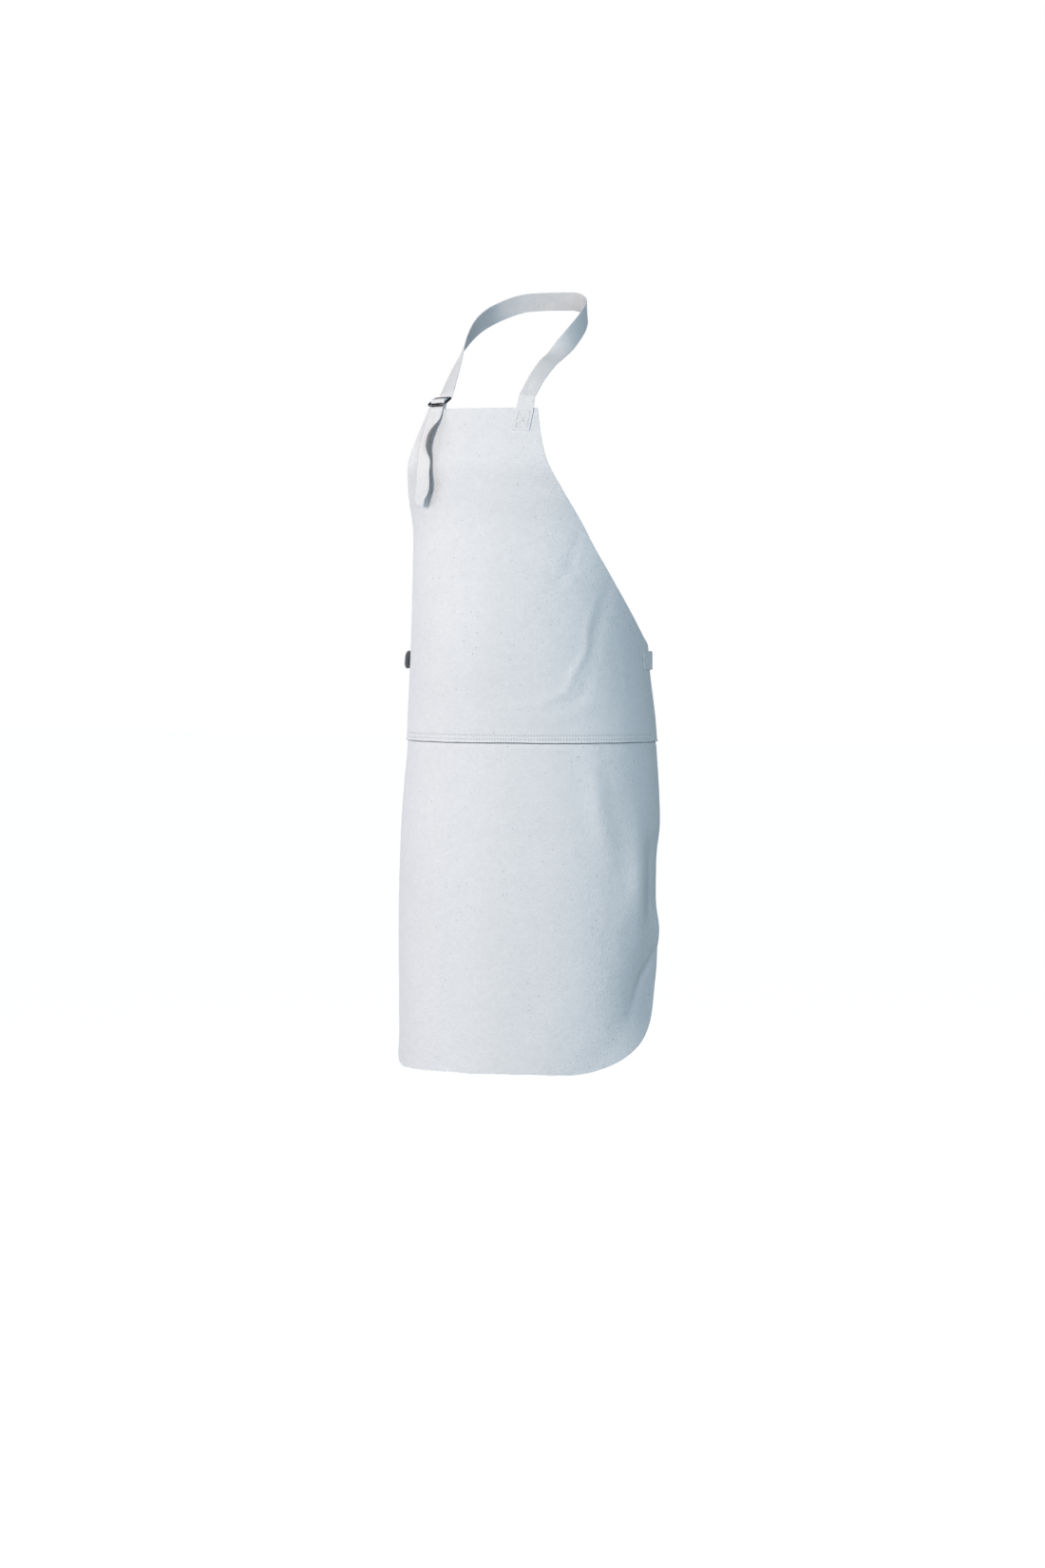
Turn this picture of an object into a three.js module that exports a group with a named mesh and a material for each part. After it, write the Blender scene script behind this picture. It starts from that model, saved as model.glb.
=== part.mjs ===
// Leather welding apron as worn: a bib lapped and sewn over a wide skirt, hung from a neck strap and held
// round the waist by a second strap. Each strap threads a wire slide buckle with a roller.
// Millimetres, +Z up. The wearer faces -Y and the wearer's left is +X. The origin is the middle of the
// neck strap's inner face, at the back of the neck.
import * as THREE from 'three';

// ---- Driving dimensions ----
const apronLength = 900; // bib top edge to hem
const apronWidth = 600; // cut width of the skirt and of the bib below the armholes
const bibTopWidth = 178;
const armholeDepth = 326; // bib top edge to the corner where the armhole meets the side
const armholeLead = { out: 28, down: 0.32 }; // curve leaving the bib's top corner
const sideLead = { out: 100, down: 0.8 }; // curve meeting the side
const waistSeamDrop = 452; // bib top edge to the bib's lower edge
const seamLap = 22; // skirt under bib
const hemCornerRadius = 160;
const leather = 1.4; // thickness of bib and skirt
const panelGap = 0.3; // between the two leathers in the lap

const strapWidth = 25;
const strapThickness = 1.2;
const tabThickness = 1.2;
const sewnLength = 30; // how far a strap or tab reaches on to the bib
const sewnRoom = 0.49; // least clearance of a flat strap on the curved bib
const neckStrapInset = 5; // bib corner to the strap's edge
const waistStrapInset = 4; // armhole corner to the strap's edge
const neckTailLength = 132;
const waistTailLength = 105;
const tailLift = 1.6; // free tail above the bib
const flexDrop = 2.6; // bib edge down to the line where a tail bends
const flexGap = 0.85; // strap end to the same line
const noseGap = 0.1; // tail end to the same line

const wire = 3; // buckle wire diameter
const barPitch = 8.5; // buckle centre bar to roller bar, and to upper bar
const frameSideGap = 1.5; // strap edge to side wire
const frameCorner = 3; // bend radius of the wire at its centre
const rollerWall = 0.5;
const runningGap = 0.3; // roller on its bar, centre bar in its loop, bar ends at the side wires
const touchGap = 0.35; // leather lying on leather at the buckle
const tiltRoom = 0.7; // strap to the bars that tilt against it
const loopRise = 11; // bib edge to centre bar
const leadIn = { y: 8.6, z: 4.8 }; // from the centre bar to the strap above the upper bar
const leadOut = { y: 12.5, z: 14 }; // and on to the strap's first free point

const thread = 0.8; // sewing thread as laid
const threadGap = 0.4;
const stitchRoom = 0.14; // least clearance of thread on a flat strap
const seamRowDrops = [4.3, 10]; // rows of stitching above the bib's lower edge
const stitchInset = 4; // box of stitching inside the strap's edges

const neckBackY = 50; // inner face of the neck strap behind the neck, from the body's axis
const neckDrop = 150; // from there down to the bib's top edge
const waistBackY = 100; // inner face of the waist strap behind the body
const restLength = 30; // straight stretch of each strap where it rests on the wearer

// ---- Mesh resolution ----
const columns = 28;
const armholeRows = 12;
const sideRows = 3;
const skirtRows = 5;
const cornerRows = 6;
const wireSides = 10;
const stepsPerSpan = 3; // of the neck strap's route

const suede = new THREE.MeshStandardMaterial({ color: 0xdfe3e7, roughness: 0.92, metalness: 0 });
const strapLeather = new THREE.MeshStandardMaterial({ color: 0xe3e6e9, roughness: 0.85, metalness: 0 });
const sewingThread = new THREE.MeshStandardMaterial({ color: 0xf0f1f0, roughness: 0.7, metalness: 0 });
const chrome = new THREE.MeshStandardMaterial({ color: 0x9a9da0, roughness: 0.22, metalness: 1 });

// ---- The hung shape: body sections, with the drop below the bib's top edge ----
// Each section is an ellipse: half breadth a, half depth b and the y of its centre.
const sections = [
  { drop: 0, a: 228, b: 150, y: 8 },
  { drop: 65, a: 226, b: 150, y: -13 },
  { drop: 110, a: 196, b: 150, y: -10 },
  { drop: 155, a: 172, b: 150, y: -6 },
  { drop: 210, a: 168, b: 150, y: -8 },
  { drop: 320, a: 169, b: 150, y: -11 },
  { drop: 450, a: 183, b: 148, y: -4 },
  { drop: 600, a: 195, b: 149, y: -6 },
  { drop: 900, a: 189, b: 150, y: -17 },
];

function hermite(p0, p1, m0, m1, t) {
  const t2 = t * t;
  const t3 = t2 * t;
  return (2 * t3 - 3 * t2 + 1) * p0 + (t3 - 2 * t2 + t) * m0 + (3 * t2 - 2 * t3) * p1 + (t3 - t2) * m1;
}

// Slope of one value of the sections at station i, from its neighbours.
function sectionSlope(key, i) {
  const before = sections[Math.max(i - 1, 0)];
  const after = sections[Math.min(i + 1, sections.length - 1)];
  return (after[key] - before[key]) / (after.drop - before.drop);
}

function sectionValue(key, drop) {
  const last = sections.length - 1;
  const v = THREE.MathUtils.clamp(drop, sections[0].drop, sections[last].drop);
  const i = Math.min(sections.findLastIndex((s) => s.drop <= v), last - 1);
  const span = sections[i + 1].drop - sections[i].drop;
  const slopes = [sectionSlope(key, i) * span, sectionSlope(key, i + 1) * span];
  return hermite(sections[i][key], sections[i + 1][key], ...slopes, (v - sections[i].drop) / span);
}

// The ellipse's angle at arc length u from its front, walked in short midpoint steps.
function angleAtArc(a, b, u) {
  const steps = 60;
  const rate = (t) => 1 / Math.hypot(a * Math.cos(t), b * Math.sin(t));
  let t = 0;
  for (let k = 0; k < steps; k += 1) {
    const half = t + (rate(t) * u) / steps / 2;
    t += (rate(half) * u) / steps;
  }
  return t;
}

// A point of the hung apron: u across from the centre line on the leather, drop below the bib's top
// edge, and offset outwards from the bib's outer face.
function hung(u, drop, offset = 0) {
  const a = sectionValue('a', drop);
  const b = sectionValue('b', drop);
  const t = angleAtArc(a, b, u);
  const normal = new THREE.Vector3(b * Math.sin(t), -a * Math.cos(t), 0).normalize();
  const point = new THREE.Vector3(a * Math.sin(t), sectionValue('y', drop) - b * Math.cos(t), -drop);
  return point.addScaledVector(normal, offset);
}

// ---- Closed solids ----
function solid(corners, quads) {
  const indices = quads.flatMap(([p, q, r, s]) => [p, q, r, p, r, s]);
  const volume = signedVolume(corners, indices);
  if (volume < 0) indices.reverse();
  const geometry = new THREE.BufferGeometry().setFromPoints(corners);
  geometry.setIndex(indices);
  geometry.computeVertexNormals();
  return geometry;
}

function signedVolume(corners, indices) {
  let sum = 0;
  for (let i = 0; i < indices.length; i += 3) {
    const [p, q, r] = [corners[indices[i]], corners[indices[i + 1]], corners[indices[i + 2]]];
    sum += new THREE.Vector3().crossVectors(q, r).dot(p);
  }
  return sum / 6;
}

// A sheet with thickness, from two grids of points of the same size.
function slab(outer, inner) {
  const rows = outer.length;
  const cols = outer[0].length;
  const at = (side, i, j) => side * rows * cols + i * cols + j;
  const quads = [];
  for (let i = 0; i < rows - 1; i += 1) {
    for (let j = 0; j < cols - 1; j += 1) {
      quads.push([at(0, i, j), at(0, i, j + 1), at(0, i + 1, j + 1), at(0, i + 1, j)]);
      quads.push([at(1, i, j), at(1, i + 1, j), at(1, i + 1, j + 1), at(1, i, j + 1)]);
    }
  }
  for (let j = 0; j < cols - 1; j += 1) {
    quads.push([at(0, 0, j), at(1, 0, j), at(1, 0, j + 1), at(0, 0, j + 1)]);
    quads.push([at(0, rows - 1, j), at(0, rows - 1, j + 1), at(1, rows - 1, j + 1), at(1, rows - 1, j)]);
  }
  for (let i = 0; i < rows - 1; i += 1) {
    quads.push([at(0, i, 0), at(0, i + 1, 0), at(1, i + 1, 0), at(1, i, 0)]);
    quads.push([at(0, i, cols - 1), at(1, i, cols - 1), at(1, i + 1, cols - 1), at(0, i + 1, cols - 1)]);
  }
  return solid([...outer.flat(), ...inner.flat()], quads);
}

// Rows of [half width, drop] hung on the body, between two offsets.
function hungPanel(rows, outside, inside) {
  const grid = (offset) => rows.map(([half, drop]) => Array.from({ length: columns + 1 }, (_, j) => {
    const share = (2 * j) / columns - 1;
    return hung(share * half, drop, offset);
  }));
  return slab(grid(outside), grid(inside));
}

// A flat strip along its centre line. Each width axis is squared to the line before it is used.
function ribbon(centres, widthAxes, width, thickness) {
  const outer = [];
  const inner = [];
  const last = centres.length - 1;
  centres.forEach((centre, i) => {
    const before = direction(centres[Math.max(i - 1, 0)], centres[Math.max(i, 1)]);
    const after = direction(centres[Math.min(i, last - 1)], centres[Math.min(i + 1, last)]);
    const tangent = before.clone().add(after).normalize();
    const across = widthAxes[i].clone().addScaledVector(tangent, -widthAxes[i].dot(tangent)).normalize();
    const mitre = 1 / before.dot(tangent);
    const half = across.clone().cross(tangent).multiplyScalar((thickness / 2) * mitre);
    const edges = [-width / 2, width / 2].map((w) => centre.clone().addScaledVector(across, w));
    outer.push(edges.map((p) => p.clone().add(half)));
    inner.push(edges.map((p) => p.clone().sub(half)));
  });
  return slab(outer, inner);
}

// A round wire swept along a closed loop that lies in the XZ plane.
function wireLoop(centres, radius) {
  const count = centres.length;
  const corners = [];
  centres.forEach((centre, i) => {
    const tangent = direction(centres[(i + count - 1) % count], centres[(i + 1) % count]);
    const side = new THREE.Vector3(0, 1, 0);
    const across = side.clone().cross(tangent);
    for (let k = 0; k < wireSides; k += 1) {
      const angle = (2 * Math.PI * k) / wireSides;
      const ring = centre.clone().addScaledVector(side, radius * Math.cos(angle));
      corners.push(ring.addScaledVector(across, radius * Math.sin(angle)));
    }
  });
  const quads = [];
  for (let i = 0; i < count; i += 1) {
    for (let k = 0; k < wireSides; k += 1) {
      const [a, b] = [i * wireSides, ((i + 1) % count) * wireSides];
      const next = (k + 1) % wireSides;
      quads.push([a + k, a + next, b + next, b + k]);
    }
  }
  return solid(corners, quads);
}

// A flat thread laid round a box of surface points about [0, middle], standing off the surface.
function threadLoop(place, corners, middle) {
  const rings = corners.flatMap(([u, v]) => {
    const [du, dv] = [Math.sign(-u) * thread, Math.sign(middle - v) * thread];
    const [low, high] = [stitchGap, stitchGap + thread];
    return [place(u, v, low), place(u, v, high), place(u + du, v + dv, high), place(u + du, v + dv, low)];
  });
  const quads = [];
  for (let i = 0; i < corners.length; i += 1) {
    for (let k = 0; k < 4; k += 1) {
      const [a, b] = [i * 4, ((i + 1) % corners.length) * 4];
      const next = (k + 1) % 4;
      quads.push([a + k, a + next, b + next, b + k]);
    }
  }
  return solid(rings, quads);
}

function direction(from, to) {
  return to.clone().sub(from).normalize();
}

function mesh(name, geometry, material) {
  const made = new THREE.Mesh(geometry, material.clone());
  made.name = name;
  return made;
}

// ---- Panels ----
function armholeEdge() {
  const half = apronWidth / 2;
  const start = new THREE.Vector2(bibTopWidth / 2, 0);
  const end = new THREE.Vector2(half, armholeDepth);
  const leaveBib = new THREE.Vector2(start.x + armholeLead.out, armholeDepth * armholeLead.down);
  const meetSide = new THREE.Vector2(half - sideLead.out, armholeDepth * sideLead.down);
  return new THREE.CubicBezierCurve(start, leaveBib, meetSide, end);
}

function bibRows() {
  const rows = armholeEdge().getPoints(armholeRows).map((p) => [p.x, p.y]);
  for (let i = 1; i <= sideRows; i += 1) {
    const drop = THREE.MathUtils.lerp(armholeDepth, waistSeamDrop - seamLap, i / sideRows);
    rows.push([apronWidth / 2, drop]);
  }
  rows.push([apronWidth / 2, waistSeamDrop]);
  return rows;
}

function skirtRowList() {
  const half = apronWidth / 2;
  const cornerTop = apronLength - hemCornerRadius;
  const rows = [[half, waistSeamDrop - seamLap]];
  for (let i = 0; i <= skirtRows; i += 1) {
    rows.push([half, THREE.MathUtils.lerp(waistSeamDrop, cornerTop, i / skirtRows)]);
  }
  for (let i = 1; i <= cornerRows; i += 1) {
    const turn = (Math.PI / 2) * (i / cornerRows);
    const inset = hemCornerRadius * (1 - Math.cos(turn));
    rows.push([half - inset, cornerTop + hemCornerRadius * Math.sin(turn)]);
  }
  return rows;
}

function panels() {
  const skirtFace = -(leather + panelGap);
  return [
    mesh('bib_panel', hungPanel(bibRows(), 0, -leather), suede),
    mesh('skirt_panel', hungPanel(skirtRowList(), skirtFace, skirtFace - leather), suede),
  ];
}

function seamThreads() {
  const names = ['waist_seam_thread_lower', 'waist_seam_thread_upper'];
  const half = apronWidth / 2 - stitchInset;
  return seamRowDrops.map((rise, k) => {
    const middle = waistSeamDrop - rise;
    const rows = [[half, middle - thread / 2], [half, middle + thread / 2]];
    return mesh(names[k], hungPanel(rows, threadGap + thread, threadGap), sewingThread);
  });
}

// ---- Slide buckles ----
// A seat is where a tab leaves the bib: x along the bars, y inwards and z onwards past the bib's edge.
const edgeRise = strapWidth ** 2 / (8 * (sections[0].a ** 2 / sections[0].b)); // bib's curve under a strap
const sewnGap = sewnRoom + edgeRise;
const stitchGap = stitchRoom + edgeRise;
const loopRadius = wire / 2 + runningGap + tabThickness / 2; // centre line of the tab round the bar
const plyY = leather + sewnGap + tabThickness / 2; // front ply of the tab, behind the bib
const plyPitch = tabThickness + touchGap;
const barY = plyY + plyPitch / 2;
const rollerRadius = wire / 2 + runningGap + rollerWall;
const strapBehindRoller = rollerRadius + tiltRoom + strapThickness / 2;
const strapOverLoop = loopRadius + tabThickness / 2 + touchGap + strapThickness / 2;
const strapBehindBar = wire / 2 + tiltRoom + strapThickness / 2;
const slantRoom = 0.4; // the tab's front ply leans forward to its loop
const rollerY = plyY - tabThickness / 2 - touchGap - strapThickness / 2 - slantRoom - strapBehindRoller;
const lean = Math.asin((barY - rollerY) / barPitch); // the buckle's tilt away from the bib's plane

const neckTabU = -(bibTopWidth / 2 - neckStrapInset - strapWidth / 2);
const waistStrapDrop = armholeDepth + waistStrapInset + strapWidth / 2;

// place(s, offset, w) is the point s inside the bib's edge on the seat's line, offset outwards and w
// along the bars.
function makeSeat(name, place) {
  const z = direction(place(1, 0, 0), place(-1, 0, 0));
  const across = direction(place(0, 0, -1), place(0, 0, 1));
  const y = z.clone().cross(across).normalize();
  const x = y.clone().cross(z);
  const matrix = new THREE.Matrix4().makeBasis(x, y, z).setPosition(place(0, 0, 0));
  return { name, place, matrix };
}

const neckSeat = makeSeat('neck', (s, offset, w) => hung(neckTabU + w, s, offset));
const waistSeat = makeSeat('waist', (s, offset, w) => (
  hung(-apronWidth / 2 + s, waistStrapDrop - w, offset)
));

function seatPoint(seat, y, z) {
  return new THREE.Vector3(0, y, z).applyMatrix4(seat.matrix);
}

function seatAxis(seat) {
  return new THREE.Vector3().setFromMatrixColumn(seat.matrix, 0);
}

function frameOutline() {
  const halfX = strapWidth / 2 + frameSideGap + wire / 2;
  const turns = 4;
  const points = [];
  for (const [sx, sz, start] of [[1, 1, 0], [-1, 1, 1], [-1, -1, 2], [1, -1, 3]]) {
    for (let k = 0; k <= turns; k += 1) {
      const angle = (Math.PI / 2) * (start + k / turns);
      const x = sx * (halfX - frameCorner) + frameCorner * Math.cos(angle);
      const z = sz * (barPitch - frameCorner) + frameCorner * Math.sin(angle);
      points.push(new THREE.Vector3(x, 0, z));
    }
  }
  return points;
}

function centreBar() {
  const length = strapWidth + 2 * (frameSideGap - runningGap);
  return new THREE.CylinderGeometry(wire / 2, wire / 2, length, wireSides).rotateZ(Math.PI / 2);
}

function rollerTube() {
  const half = strapWidth / 2 - runningGap;
  const bore = wire / 2 + runningGap;
  const profile = [[bore, -half], [rollerRadius, -half], [rollerRadius, half], [bore, half], [bore, -half]];
  const geometry = new THREE.LatheGeometry(profile.map(([r, x]) => new THREE.Vector2(r, x)), 16);
  return geometry.rotateZ(Math.PI / 2);
}

function buckle(seat) {
  const holder = new THREE.Group();
  holder.applyMatrix4(seat.matrix);
  const body = new THREE.Group();
  body.position.set(0, barY, loopRise);
  body.rotation.x = -lean;
  const roller = mesh(`${seat.name}_buckle_roller`, rollerTube(), chrome);
  roller.position.z = -barPitch;
  body.add(mesh(`${seat.name}_buckle_frame`, wireLoop(frameOutline(), wire / 2), chrome));
  body.add(mesh(`${seat.name}_buckle_centre_bar`, centreBar(), chrome));
  body.add(roller);
  holder.add(body);
  return holder;
}

// Points round a circle of a seat's (y, z) plane. Angles in degrees, from +y towards +z.
function arc(seat, y, z, radius, from, to, steps) {
  return Array.from({ length: steps + 1 }, (_, k) => {
    const angle = THREE.MathUtils.degToRad(THREE.MathUtils.lerp(from, to, k / steps));
    return seatPoint(seat, y + radius * Math.cos(angle), z + radius * Math.sin(angle));
  });
}

// A strip of leather folded over the centre bar, with both ends sewn behind the bib.
function buckleTab(seat) {
  const inner = [1, 0.5, 0.02].map((k) => seat.place(k * sewnLength, -plyY, 0));
  const back = [0.02, 0.5, 1].map((k) => seat.place(k * sewnLength, -plyY - plyPitch, 0));
  const loop = arc(seat, barY, loopRise, loopRadius, 230, -50, 8);
  const neck = [seatPoint(seat, plyY, loopRise / 2.6), seatPoint(seat, plyY + plyPitch, loopRise / 2.6)];
  const line = [...inner, neck[0], ...loop, neck[1], ...back];
  const widths = line.map(() => seatAxis(seat));
  return mesh(`${seat.name}_buckle_tab`, ribbon(line, widths, strapWidth, tabThickness), strapLeather);
}

// Where a strap crosses from behind one circle to the front of the next: degrees at both circles.
function crossing(radiusSum) {
  return THREE.MathUtils.radToDeg(Math.acos(radiusSum / barPitch));
}

// The strap's way through the buckle: behind the upper bar, over the looped centre bar, behind the roller.
function threadedPath(seat) {
  const leanDeg = THREE.MathUtils.radToDeg(lean);
  const down = 270 - leanDeg; // from a bar to the next one below it
  const [dy, dz] = [barPitch * Math.sin(lean), barPitch * Math.cos(lean)];
  const first = crossing(strapBehindBar + strapOverLoop);
  const second = crossing(strapOverLoop + strapBehindRoller);
  const upper = arc(seat, barY + dy, loopRise + dz, strapBehindBar, 335, down + first, 3);
  const over = arc(seat, barY, loopRise, strapOverLoop, down + first - 180, down - second, 5);
  const behind = arc(seat, barY - dy, loopRise - dz, strapBehindRoller, down - second + 180 - 360, -58, 4);
  return [...upper, ...over, ...behind];
}

// The line across the strap where its free end bends, just below the roller and in front of the bib.
function flexPoint(seat) {
  return seatPoint(seat, -tailLift - strapThickness / 2, -flexDrop);
}

function tail(seat, length, lifts) {
  const start = flexPoint(seat);
  const route = lifts.map(([s, lift]) => seat.place(s * length, lift + strapThickness / 2, 0));
  const curve = new THREE.CatmullRomCurve3([start, ...route]);
  const line = curve.getPoints(9);
  line[0].lerp(line[1], noseGap / line[0].distanceTo(line[1]));
  const widths = line.map(() => seatAxis(seat));
  return mesh(`${seat.name}_strap_tail`, ribbon(line, widths, strapWidth, strapThickness), strapLeather);
}

// The strap's end below the roller, stopped short of the bending line.
function strapEnd(seat, from) {
  const flex = flexPoint(seat);
  const above = seatPoint(seat, -tailLift - strapThickness / 2 - 0.1, flexGap - flexDrop);
  const middle = from.clone().lerp(above, 0.55).addScaledVector(direction(flex, above), 0.25);
  return [middle, above];
}

// ---- Straps ----
const neckRestSpan = 8; // which span of the route lies straight behind the neck

// Route of the neck strap after it leaves the bib on the wearer's left: position, then outward normal.
function neckRoute(edge) {
  const back = neckBackY + strapThickness / 2;
  const rest = restLength / 2;
  const right = seatPoint(neckSeat, barY + leadOut.y, loopRise + leadOut.z);
  return [
    [new THREE.Vector3(edge.x, edge.y + 5, 16), [0.1, -0.93, 0.35]],
    [new THREE.Vector3(edge.x + 2, -111, 39), [0.15, -0.8, 0.58]],
    [new THREE.Vector3(edge.x + 5, -88, 60), [0.3, -0.35, 0.88]],
    [new THREE.Vector3(79, -68, 73), [0.35, -0.1, 0.93]],
    [new THREE.Vector3(84, -40, 96), [0.8, -0.1, 0.55]],
    [new THREE.Vector3(83, -8, 119), [0.97, 0.1, 0.2]],
    [new THREE.Vector3(70, 24, 137), [0.8, 0.6, 0.05]],
    [new THREE.Vector3(44, 44, neckDrop - 2), [0.4, 0.92, 0]],
    [new THREE.Vector3(rest, back, neckDrop), [0, 1, 0]],
    [new THREE.Vector3(-rest, back, neckDrop), [0, 1, 0]],
    [new THREE.Vector3(-44, 44, neckDrop - 2), [-0.4, 0.92, 0]],
    [new THREE.Vector3(-70, 24, 137), [-0.8, 0.6, 0.05]],
    [new THREE.Vector3(-83, -8, 119), [-0.97, 0.1, 0.2]],
    [new THREE.Vector3(-84, -42, 92), [-0.85, -0.2, 0.45]],
    [new THREE.Vector3(-79, -72, 62), [-0.55, -0.65, 0.5]],
    [right, [-0.2, -0.8, 0.55]],
  ];
}

// Smooth points along a route, with the strap's width axis at each. One span of the route stays straight.
function smoothRoute(route, straightSpan) {
  const curve = new THREE.CatmullRomCurve3(route.map(([p]) => p));
  const normals = new THREE.CatmullRomCurve3(route.map(([, n]) => new THREE.Vector3(...n)));
  const steps = (route.length - 1) * stepsPerSpan;
  const straightStart = straightSpan * stepsPerSpan;
  const points = [];
  const widths = [];
  for (let k = 0; k <= steps; k += 1) {
    if (k <= straightStart || k >= straightStart + stepsPerSpan) {
      points.push(curve.getPoint(k / steps));
      widths.push(curve.getTangent(k / steps).cross(normals.getPoint(k / steps)).normalize());
    }
  }
  return { points, widths };
}

// A strap from its sewn end, along its free run, through its buckle.
function strap(name, sewn, sewnWidth, free, seat) {
  const threaded = threadedPath(seat);
  const buckled = [...threaded, ...strapEnd(seat, threaded.at(-1))];
  const line = [...sewn, ...free.points, ...buckled];
  const barWidth = seatAxis(seat).negate();
  const widths = [...sewn.map(() => sewnWidth), ...free.widths, ...buckled.map(() => barWidth)];
  return mesh(name, ribbon(line, widths, strapWidth, strapThickness), strapLeather);
}

function neckStrap() {
  const offset = sewnGap + strapThickness / 2;
  const sewn = [1, 0.5, 0].map((k) => hung(-neckTabU, k * sewnLength, offset));
  const width = direction(hung(-neckTabU - 5, 0), hung(-neckTabU + 5, 0));
  const free = smoothRoute(neckRoute(sewn[2]), neckRestSpan);
  return strap('neck_strap', sewn, width, free, neckSeat);
}

// Round one side of the waist, from beside the bib's edge to the straight stretch behind the body.
function waistSweep(edge, leave, side) {
  const back = new THREE.Vector3((side * restLength) / 2, waistBackY + strapThickness / 2, edge.z);
  const bend = back.clone().setX(back.x + side * 95);
  const curve = new THREE.CubicBezierCurve3(edge, edge.clone().addScaledVector(leave, 42), bend, back);
  return curve.getPoints(12);
}

function waistStrap() {
  const offset = sewnGap + strapThickness / 2;
  const half = apronWidth / 2;
  const sewn = [1, 0.66, 0.33, 0].map((k) => hung(half - k * sewnLength, waistStrapDrop, offset));
  const sewnWidth = direction(hung(half, waistStrapDrop - 5), hung(half, waistStrapDrop + 5));
  const leave = direction(sewn[2], sewn[3]);
  const arrive = seatPoint(waistSeat, barY + leadOut.y, loopRise + leadOut.z);
  const pull = direction(seatPoint(waistSeat, barY + leadIn.y, loopRise + leadIn.z), arrive);
  const left = waistSweep(sewn[3].clone().addScaledVector(leave, 4), leave, 1);
  const right = waistSweep(arrive, pull, -1).reverse();
  const points = [...left, ...right];
  const free = { points, widths: points.map(() => new THREE.Vector3(0, 0, -1)) };
  return strap('waist_strap', sewn, sewnWidth, free, waistSeat);
}

// ---- Stitching ----
function boxStitch(name, place) {
  const halfWidth = strapWidth / 2 - stitchInset;
  const [near, far] = [stitchInset, sewnLength - stitchInset];
  const mid = (near + far) / 2;
  const corners = [
    [-halfWidth, near], [0, near], [halfWidth, near], [halfWidth, mid],
    [halfWidth, far], [0, far], [-halfWidth, far], [-halfWidth, mid],
  ];
  return mesh(name, threadLoop(place, corners, mid), sewingThread);
}

function strapStitches() {
  const half = apronWidth / 2;
  const onStrap = sewnGap + strapThickness;
  return [
    boxStitch('neck_strap_thread', (w, s, lift) => hung(-neckTabU + w, s, onStrap + lift)),
    boxStitch('neck_buckle_tab_thread', (w, s, lift) => hung(neckTabU + w, s, lift)),
    boxStitch('waist_strap_thread', (w, s, lift) => hung(half - s, waistStrapDrop + w, onStrap + lift)),
    boxStitch('waist_buckle_tab_thread', (w, s, lift) => hung(-half + s, waistStrapDrop + w, lift)),
  ];
}

// ---- Assembly ----
const apron = new THREE.Group();
apron.position.set(0, -neckBackY, -neckDrop);
apron.add(...panels(), ...seamThreads(), ...strapStitches());
apron.add(neckStrap(), buckleTab(neckSeat), buckle(neckSeat));
apron.add(waistStrap(), buckleTab(waistSeat), buckle(waistSeat));
apron.add(tail(neckSeat, neckTailLength, [[0.12, 2.6], [0.35, 3.5], [0.65, 5], [1, 8]]));
apron.add(tail(waistSeat, waistTailLength, [[0.15, 2.8], [0.4, 4], [0.7, 6], [1, 8]]));

export default apron;
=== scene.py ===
import math

import bmesh
import bpy
import numpy as np
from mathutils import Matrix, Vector


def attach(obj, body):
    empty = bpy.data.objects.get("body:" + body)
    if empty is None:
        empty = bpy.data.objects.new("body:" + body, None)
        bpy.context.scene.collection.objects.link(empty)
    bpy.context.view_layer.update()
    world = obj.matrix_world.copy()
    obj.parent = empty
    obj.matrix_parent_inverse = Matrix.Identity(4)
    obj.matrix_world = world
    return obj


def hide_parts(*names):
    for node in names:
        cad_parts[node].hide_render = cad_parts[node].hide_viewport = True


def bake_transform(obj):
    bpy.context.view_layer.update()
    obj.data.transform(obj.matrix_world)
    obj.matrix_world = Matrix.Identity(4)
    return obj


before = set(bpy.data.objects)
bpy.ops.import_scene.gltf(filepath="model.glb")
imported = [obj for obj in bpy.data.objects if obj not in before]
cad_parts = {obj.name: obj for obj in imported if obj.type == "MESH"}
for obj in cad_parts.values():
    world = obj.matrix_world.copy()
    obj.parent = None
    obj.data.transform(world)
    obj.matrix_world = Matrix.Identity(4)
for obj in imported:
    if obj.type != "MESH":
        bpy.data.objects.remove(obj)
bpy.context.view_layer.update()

# Leather welding apron as worn. Shapes are worked out in millimetres about the wearer's own axis, with
# z = 0 at the bib's top edge, and are moved to the imported frame when a mesh is made.

# ---- Sizes, as in the CAD model ----
NECK_BACK_Y = 50.0
NECK_DROP = 150.0
ORIGIN = np.array([0.0, -NECK_BACK_Y, -NECK_DROP])
MM = 0.001

APRON_LENGTH = 900.0
HALF_WIDTH = 300.0
BIB_TOP_HALF = 89.0
ARMHOLE_DEPTH = 326.0
ARMHOLE_LEAD = (28.0, 0.32)
SIDE_LEAD = (100.0, 0.8)
SEAM_DROP = 452.0
SEAM_LAP = 22.0
CORNER_RADIUS = 160.0
LEATHER = 1.4
PANEL_GAP = 0.3

STRAP_WIDTH = 25.0
STRAP_THICKNESS = 1.2
TAB_THICKNESS = 1.2
SEWN_LENGTH = 30.0
SEWN_ROOM = 0.49
NECK_STRAP_INSET = 5.0
WAIST_STRAP_INSET = 4.0
NECK_TAIL_LENGTH = 132.0
WAIST_TAIL_LENGTH = 105.0
TAIL_LIFT = 1.6
FLEX_DROP = 2.6

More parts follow.
